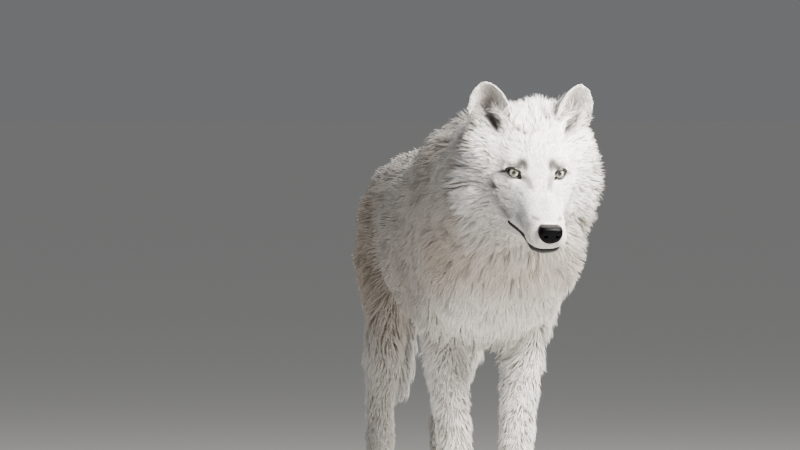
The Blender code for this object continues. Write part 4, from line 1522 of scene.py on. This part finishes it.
# --- eyes, nose, lips and claws ---
@dataclass(frozen=True)
class WetEye(Finish):
    """A living eye: a painted iris under a clear, wet cornea, which gives one sharp highlight."""

    name: str = "wet_eye"
    pupil: str = "050505"
    inner: str = "5d5e4c"
    iris: str = "bcc0ae"
    outer: str = "9a9f90"
    ring: str = "0e1112"
    white: str = "2c2421"
    stops: tuple[float, ...] = (0.17, 0.23, 0.34, 0.48, 0.56, 0.68, 0.74)  # from the axis outwards
    streaks: float = 9.0  # round the iris
    waver: float = 0.03  # of the bands, as the fibres of the iris end

    def surface(self, node: AddNode) -> dict:
        """Colours each point by how far it is from the eye's axis."""
        radius = node("Attribute", attribute_name="from_axis")
        spoke = node("Attribute", attribute_name="spoke")
        fine = {"Scale": self.streaks, "Detail": 3.0, "Roughness": 0.7}
        fibre = node("TexNoise", {"Vector": spoke.outputs["Vector"], **fine})
        moved = span(0.3, 0.7, -self.waver, self.waver)
        shift = node("MapRange", {"Value": fibre.outputs["Fac"], **moved})
        level = node("Math", {0: radius.outputs["Fac"], 1: shift.outputs[0]}, operation="ADD")
        bands = node("ValToRGB", {"Fac": level.outputs[0]})
        ramp = bands.color_ramp
        for place in self.stops[2:]:
            ramp.elements.new(place)
        colours = (self.pupil, self.inner, self.iris, self.outer, self.ring, self.ring, self.white)
        for element, place, colour in zip(ramp.elements, self.stops, colours):
            element.position, element.color = place, linear(colour)
        wet = {"Coat Weight": 1.0, "Coat Roughness": 0.02, "Coat IOR": 1.38}
        return {"Base Color": bands.outputs[0], "Roughness": 0.25, "Specular IOR Level": 0.3, **wet}


@dataclass(frozen=True)
class BareSkin(Finish):
    """Black hairless skin, as grown: pebbled or smooth, kept moist, so it shines softly."""

    name: str
    colour: str
    light: str
    roughness: float
    pebble: float  # breadth of one pebble of its relief
    relief: float
    coat: float = 0.0
    specular: float = 0.5

    def surface(self, node: AddNode) -> dict:
        """Clouds its colour and raises its pebbles."""
        place = node("TexCoord")
        cells = node("TexVoronoi", {"Vector": place.outputs["Object"], "Scale": 1 / self.pebble})
        cloud = node("TexNoise", {"Vector": place.outputs["Object"], "Scale": 0.2 / self.pebble})
        tones = {0: cloud.outputs["Fac"], 6: linear(self.colour), 7: linear(self.light)}
        mixed = node("Mix", tones, data_type="RGBA")
        raised = {"Height": cells.outputs["Distance"], "Distance": self.relief, "Strength": 0.6}
        bump = node("Bump", raised, invert=True)
        shine = {"Specular IOR Level": self.specular, "Coat Weight": self.coat, "Coat Roughness": 0.25}
        skin = {"Base Color": mixed.outputs[2], "Normal": bump.outputs[0]}
        return {**skin, "Roughness": self.roughness, **shine}


NOSE_LEATHER = BareSkin("nose_pad_skin", "010102", "040407", 0.34, 1.0 * MM, 0.15 * MM, specular=0.05)
LIP_SKIN = BareSkin("lip_skin", "0e0c0d", "1c1718", 0.42, 1.4 * MM, 0.15 * MM)
LID_SKIN = BareSkin("eyelid_skin", "0d0b0b", "1a1514", 0.35, 1.2 * MM, 0.10 * MM)
CLAW_HORN = BareSkin("claw_horn", "2a2422", "4a4039", 0.40, 2.5 * MM, 0.10 * MM)


def tube(name: str, path: Array, radii: Array, up: Array, closed: bool, sides: int = 10) -> Mesh:
    """A round bar along a path.

    Args:
        name: The mesh's name.
        path: The points of its middle.
        radii: Two columns: half its breadth along the surface, and half its height over it.
        up: The way off the surface at each point.
        closed: Whether the path joins up with its start.
        sides: Corners of a section.

    Returns:
        The mesh.
    """
    count = len(path)
    ahead, behind = np.roll(path, -1, axis=0), np.roll(path, 1, axis=0)
    if not closed:
        ahead[-1], behind[0] = path[-1], path[0]
    tangent = unit(ahead - behind)
    across = unit(np.cross(tangent, up))
    upward = np.cross(across, tangent)
    turn = turns(sides)
    rings = path[:, None] + across[:, None] * (radii[:, :1] * np.cos(turn))[:, :, None]
    rings = rings + upward[:, None] * (radii[:, 1:] * np.sin(turn))[:, :, None]
    mesh = mesh_from(name, rings.reshape(-1, 3), ring_faces(count, sides, closed))
    if not closed:
        with editing(mesh) as form:
            bmesh.ops.holes_fill(form, edges=form.edges, sides=sides)
            bmesh.ops.recalc_face_normals(form, faces=form.faces)
    return mesh


@dataclass
class Eye:
    """One eyeball with its painted iris, and the black rim of its lids."""

    side: Side
    rings: int = 48
    segments: int = 64
    bulge: float = 0.7 * MM  # of the cornea
    cornea: float = math.radians(30)  # its reach from the axis
    clear: float = 0.2 * MM  # between the ball and its solid
    bands: float = 2.6  # the painted bands' measure of half a turn from the axis
    fibre: float = 0.25  # how fast the iris's fibres change outwards
    apart: float = math.radians(9)  # by which each eye's sight turns away from the nose
    aside: float = math.radians(-8)  # by which both eyes look to the right
    rise: float = math.radians(7)
    rim: float = 1.6 * MM
    inner_rim: float = 3.3 * MM  # at the corner by the nose, where the rim is broadest
    upper_rim: float = 0.45  # by which the upper lid's rim is broader
    rim_height: float = 0.8  # over its breadth
    steps: int = 72  # round the rim

    def ball(self) -> Mesh:
        """The eyeball, turned about its line of sight."""
        opening = EYES[self.side]
        tilt = np.linspace(0, math.pi, self.rings + 1)
        turn = turns(self.segments)
        radius = opening.ball + self.bulge * bell(tilt, 0, self.cornea) - self.clear
        across = (radius * np.sin(tilt))[:, None] * np.cos(turn)
        upward = (radius * np.sin(tilt))[:, None] * np.sin(turn)
        forward = (radius * np.cos(tilt))[:, None] + 0 * turn
        flat = np.stack([across, upward, forward], 2).reshape(-1, 3)
        bearing = self.aside + self.side.value * self.apart
        flat_sight = (math.sin(bearing) * math.cos(self.rise), -math.cos(bearing) * math.cos(self.rise))
        sight = np.array([*flat_sight, math.sin(self.rise)])
        level = unit(np.cross(sight, np.array([0.0, 0.0, 1.0])))
        axes = np.stack([level, np.cross(level, sight), sight], 1)
        points = HEAD.world(opening.centre + flat @ axes.T)
        name = f"eye_{self.side.word}"
        mesh = mesh_from(name, points, ring_faces(self.rings + 1, self.segments))
        from_axis = np.repeat(tilt / math.pi * self.bands, self.segments)
        write_attribute(mesh, "from_axis", from_axis)
        circle = np.tile(np.stack([np.cos(turn), np.sin(turn)], 1), (self.rings + 1, 1))
        spoke = np.hstack([circle, self.fibre * from_axis[:, None], np.ones((len(points), 1))])
        write_attribute(mesh, "spoke", spoke)
        with editing(mesh) as form:
            bmesh.ops.remove_doubles(form, verts=form.verts, dist=WELD)
            bmesh.ops.recalc_face_normals(form, faces=form.faces)
        mesh.shade_smooth()
        return mesh

    def lid_rim(self) -> Mesh:
        """The hairless edge of both lids, broad and dark at the inner corner."""
        opening = EYES[self.side]
        path = opening.outline(self.steps)
        turn = turns(self.steps)
        inner = np.clip(-np.cos(turn), 0, 1) ** 4
        upper = np.clip(np.sin(turn), 0, 1)
        breadth = self.rim * (1 + self.upper_rim * upper) + (self.inner_rim - self.rim) * inner
        radii = np.stack([breadth, self.rim_height * breadth], 1)
        middle = opening.centre - opening.axes[:, 2] * 4 * MM
        up = unit(path - middle)
        return tube(f"eyelid_rim_{self.side.word}", HEAD.world(path), radii, up @ HEAD.axes.T, True)

    def build(self) -> None:
        """Makes both pieces."""
        word = self.side.word
        ball = finished(f"eyeball_{word}", self.ball(), WetEye(name=f"wet_eye_{word}").make())
        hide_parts(f"eye_{word}")
        finished(f"eyelid_rim_{word}", self.lid_rim(), LID_SKIN.make())


@dataclass
class Nose:
    """The nose pad, from its solid: rounded, with deep nostrils and a groove down its middle."""

    voxel: float = 0.9 * MM
    rounding: int = 22  # passes of smoothing that take off the solid's edges
    facing: tuple[float, float] = (-0.2, -0.7)  # y of a normal that starts to face ahead, and does
    groove: tuple[float, float] = (1.0 * MM, 0.9 * MM)  # depth and breadth
    groove_top: tuple[float, float] = (-46 * MM, -56 * MM)
    slit: Triple = (1.2 * MM, 1.6 * MM, 2.0 * MM)  # depth of a nostril, its breadth and height
    slit_place: tuple[float, float] = (16.5 * MM, -60 * MM)  # how far aside it is, and how high
    wing: tuple[float, float] = (0.9 * MM, 4.5 * MM)  # height and breadth of the swelling over it
    wing_place: tuple[float, float] = (13.5 * MM, -47.5 * MM)
    top_plane: float = -42.5 * MM
    top_slope: float = 0.12
    front_plane: float = -133 * MM
    front_slope: float = 0.35
    middle: tuple[float, float] = (-125 * MM, -52 * MM)  # where the sloping planes are measured from
    pressed: tuple[float, float] = (0.75, 0.60)  # towards the top plane, and towards the front plane

    def relief(self, places: Array, normals: Array) -> Array:
        """How deep the groove and the nostrils are at each point.

        Args:
            places: Points of the pad in the head's own axes.
            normals: The ways off its surface there.

        Returns:
            Depths, negative where the pad swells.
        """
        front = smoothstep(*self.facing, normals[:, 1])
        aside, height = np.abs(places[:, 0]), places[:, 2]
        depth, breadth = self.groove
        groove = depth * bell(aside, 0, breadth) * front * smoothstep(*self.groove_top, height)
        depth, breadth, tall = self.slit
        out, up = self.slit_place
        slit = depth * bell(aside, out, breadth) * bell(height, up, tall) * front
        swelling, breadth = self.wing
        out, up = self.wing_place
        wing = swelling * bell(aside, out, breadth) * bell(height, up, breadth) * front
        return groove + slit - wing

    def build(self) -> None:
        """Makes the piece that stands for the solid."""
        mesh = remeshed(mesh_of(solid_form("nose"), "nose"), self.voxel)
        surface = Surface.of_mesh(mesh)
        places = HEAD.local(surface.smooth(read_points(mesh), self.rounding))
        normals = read_normals(mesh) @ HEAD.axes
        places -= normals * self.relief(places, normals)[:, None]
        (along, height), (down, back) = self.middle, self.pressed
        above = places[:, 2] - self.top_plane + self.top_slope * (places[:, 1] - along)
        places[:, 2] -= down * np.maximum(above, 0)
        ahead = self.front_plane - places[:, 1] - self.front_slope * (places[:, 2] - height)
        places[:, 1] += back * np.maximum(ahead, 0)
        write_points(mesh, HEAD.world(surface.smooth(places, 2)))
        mesh.shade_smooth()
        piece = finished("nose_pad", mesh, NOSE_LEATHER.make())
        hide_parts("nose")


@dataclass
class Lips:
    """The black edge of the closed lips, broad under the nose and thin towards the corners."""

    steps: int = 90
    corner: float = 2.8 * MM
    front: float = 6.0 * MM
    proud: float = 1.8 * MM
    front_reach: float = 0.42  # share of the way to the corners over which they are broad
    flat: float = 0.75  # their height over their breadth

    def build(self, hide: Hide) -> None:
        """Lays the lips in the crease of the mouth.

        Args:
            hide: The surface that they lie in.
        """
        tree = tree_of(hide.mesh)
        path, up = [], []
        for point in HEAD.world(mouth_path(self.steps)):
            ground, normal, _, _ = tree.find_nearest(Vector(point))
            path.append(np.array(ground + normal * self.proud))
            up.append(np.array(normal))
        path = np.array(path)
        middle = np.linspace(-1, 1, self.steps)
        breadth = self.corner + (self.front - self.corner) * bell(middle, 0, self.front_reach)
        radii = np.stack([breadth, self.flat * breadth + 0.3 * MM], 1)
        finished("lips", tube("lips", path, radii, np.array(up), False), LIP_SKIN.make())


@dataclass(frozen=True)
class PawSizes:
    """One kind of paw: its length, width and height, out to the coat."""

    length: float
    width: float
    height: float


@dataclass
class Claws:
    """Four blunt curved claws on each paw."""

    fore: PawSizes = PawSizes(0.104, 0.088, 0.054)
    hind: PawSizes = PawSizes(0.098, 0.078, 0.050)
    places: tuple = ((-0.72, 0.50), (-0.27, 0.69), (0.27, 0.69), (0.72, 0.50))  # aside and ahead
    length: float = 17 * MM
    root: float = 4.2 * MM
    tip: float = 0.4 * MM
    breadth: float = 0.72  # over a claw's height
    bend: float = math.radians(48)
    fall: float = 0.35  # of its length, besides the bend
    spread: float = 3 * MM
    floor_gap: float = 1.4 * MM
    rings: int = 9
    toe_end: float = 12 * MM  # from the middle of the foremost toes to the paw's front
    set_in: float = 7 * MM  # of a claw's root behind the middle of its toe
    rise: float = 0.34  # of a paw's height, where the claws grow

    def claw(self, name: str, root: Array, outward: float) -> Mesh:
        """One claw, which bends down from the end of its toe."""
        part = np.linspace(0, 1, self.rings)
        ahead = self.length * np.sin(part * self.bend) / self.bend
        drop = self.length * (1 - np.cos(part * self.bend)) / self.bend + self.fall * self.length * part
        path = np.stack([outward * self.spread * part, -ahead, -drop], 1) + root
        path[:, 2] = np.maximum(path[:, 2], self.floor_gap)
        radius = self.root * (1 - part**1.6) ** 0.8 + self.tip
        radii = np.stack([self.breadth * radius, radius], 1)
        up = np.tile([0.0, 0.0, 1.0], (self.rings, 1))
        return tube(name, path, radii, up, False, 12)

    def build(self) -> None:
        """Makes the claws of each paw as one piece."""
        finish = CLAW_HORN.make()
        foremost = max(ahead for _, ahead in self.places)
        for paw, sizes in (("forepaw", self.fore), ("hindpaw", self.hind)):
            for side in Side:
                low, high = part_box(f"{paw}_{side.word}")
                middle = (low.x + high.x) / 2
                heel = low.y + foremost * sizes.length + self.toe_end
                form = bmesh.new()
                for number, (across, ahead) in enumerate(self.places):
                    toe = heel - ahead * sizes.length + self.set_in
                    root = np.array([middle + across * sizes.width / 2, toe, sizes.height * self.rise])
                    form.from_mesh(self.claw(f"claw_{number}", root, across))
                mesh = mesh_of(form, f"claws_{paw}_{side.word}")
                mesh.shade_smooth()
                finished(mesh.name, mesh, finish)


# --- the studio ---
@dataclass(frozen=True)
class Backdrop(Finish):
    """Seamless background paper, rolled and matt, in a pale warm grey."""

    name: str = "pale_studio_paper"
    colour: str = "c2c1bd"
    grain: float = 3 * MM  # drawn coarser than paper's own tooth, which is too fine to show

    def surface(self, node: AddNode) -> dict:
        """Gives the paper a fine tooth."""
        place = node("TexCoord")
        tooth = node("TexNoise", {"Vector": place.outputs["Object"], "Scale": 1 / self.grain})
        bump = node("Bump", {"Height": tooth.outputs["Fac"], "Distance": 0.1 * MM})
        return {"Base Color": linear(self.colour), "Roughness": 0.9, "Normal": bump.outputs[0]}


@dataclass
class Studio:
    """The floor, the soft lights and the camera."""

    azimuth: float = math.radians(-11.3)
    elevation: float = math.radians(1.5)
    distance: float = 10.8
    lens: float = 300.0
    aside: float = -0.222  # the view's middle from between the eyes, to the right and up
    above: float = -0.084
    floor_radius: float = 70.0
    sky: float = 0.34
    horizon: float = 0.182
    dusk: tuple[float, float] = (0.04, 0.5)  # heights between which the horizon turns to sky
    key: float = 225.0
    fill: float = 22.0
    rim: float = 20.0

    def direction(self, azimuth: float, elevation: float) -> Vector:
        """The way from the animal to a place round it."""
        flat = math.cos(elevation)
        return Vector((math.sin(azimuth) * flat, -math.cos(azimuth) * flat, math.sin(elevation)))

    def lay_floor(self) -> None:
        """A round floor, level with the soles."""
        form = bmesh.new()
        bmesh.ops.create_circle(form, cap_ends=True, radius=self.floor_radius, segments=96)
        mesh = mesh_of(form, "floor")
        mesh.materials.append(Backdrop().make())
        floor = linked("floor", mesh)
        floor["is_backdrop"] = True

    def light_sky(self) -> None:
        """An even pale sky, which fills the shadows."""
        world = bpy.data.worlds.new("studio")
        world.use_nodes = True
        tree = world.node_tree
        place = add_node(tree, "TexCoord")
        split = add_node(tree, "SeparateXYZ", {0: place.outputs["Generated"]})
        height = {"Value": split.outputs["Z"], **span(*self.dusk, self.horizon, self.sky)}
        rise = add_node(tree, "MapRange", height, interpolation_type="SMOOTHSTEP")
        dome = tree.nodes["Background"]
        dome.inputs["Color"].default_value = linear("f1f3f6")
        tree.links.new(rise.outputs[0], dome.inputs["Strength"])
        bpy.context.scene.world = world

    def softbox(self, name: str, bearing: tuple, away: float, size: float, power: float, colour: str) -> None:
        """A square softbox that faces the head.

        Args:
            name: The light's name.
            bearing: Degrees of azimuth and elevation from the head to the light.
            away: How far from the head it hangs.
            size: Its width.
            power: Its power in watts.
            colour: Its sRGB hex colour.
        """
        way = self.direction(*(math.radians(angle) for angle in bearing))
        lamp = bpy.data.lights.new(name, "AREA")
        lamp.shape, lamp.size, lamp.energy = "SQUARE", size, power
        lamp.color = linear(colour)[:3]
        box = linked(name, lamp)
        box.location = Vector(HEAD.origin) + way * away
        box.rotation_euler = way.to_track_quat("Z", "Y").to_euler()

    def place_camera(self) -> None:
        """The camera, far off with a long lens and a little above the eyes."""
        camera = linked("camera", bpy.data.cameras.new("camera"))
        camera.data.lens = self.lens
        camera.data.clip_end = 500
        back = self.direction(self.azimuth, self.elevation)
        right = Vector((math.cos(self.azimuth), math.sin(self.azimuth), 0))
        aim = Vector(HEAD.origin) + right * self.aside + back.cross(right) * self.above
        camera.location = aim + back * self.distance
        camera.rotation_euler = (-back).to_track_quat("-Z", "Y").to_euler()
        bpy.context.scene.camera = camera

    def build(self) -> None:
        """Sets everything up."""
        self.lay_floor()
        self.light_sky()
        self.softbox("key", (36, 42), 1.5, 0.7, self.key, "fffaf2")
        self.softbox("fill", (-60, 20), 3.0, 2.0, self.fill, "eef3ff")
        self.softbox("rim", (150, 50), 2.6, 1.2, self.rim, "f4f8ff")
        self.place_camera()


def main() -> None:
    """Builds the wolf and its studio, in the order in which each piece needs the last."""
    low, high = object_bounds()
    markings = Markings(low, high)
    hide = Hide()
    write_attribute(hide.mesh, "markings", markings.at(read_points(hide.mesh)))
    skin = finished("hide", hide.mesh, Underfur().make())
    flesh = [name for name in hide.names if stem(name) not in ("eye", "nose")]
    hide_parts(*flesh)
    Coat(hide, markings).build(GuardHair().make())
    for side in Side:
        Eye(side).build()
    Nose().build()
    Lips().build(hide)
    Claws().build()
    Studio().build()
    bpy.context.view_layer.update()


if __name__ == "__main__":
    main()
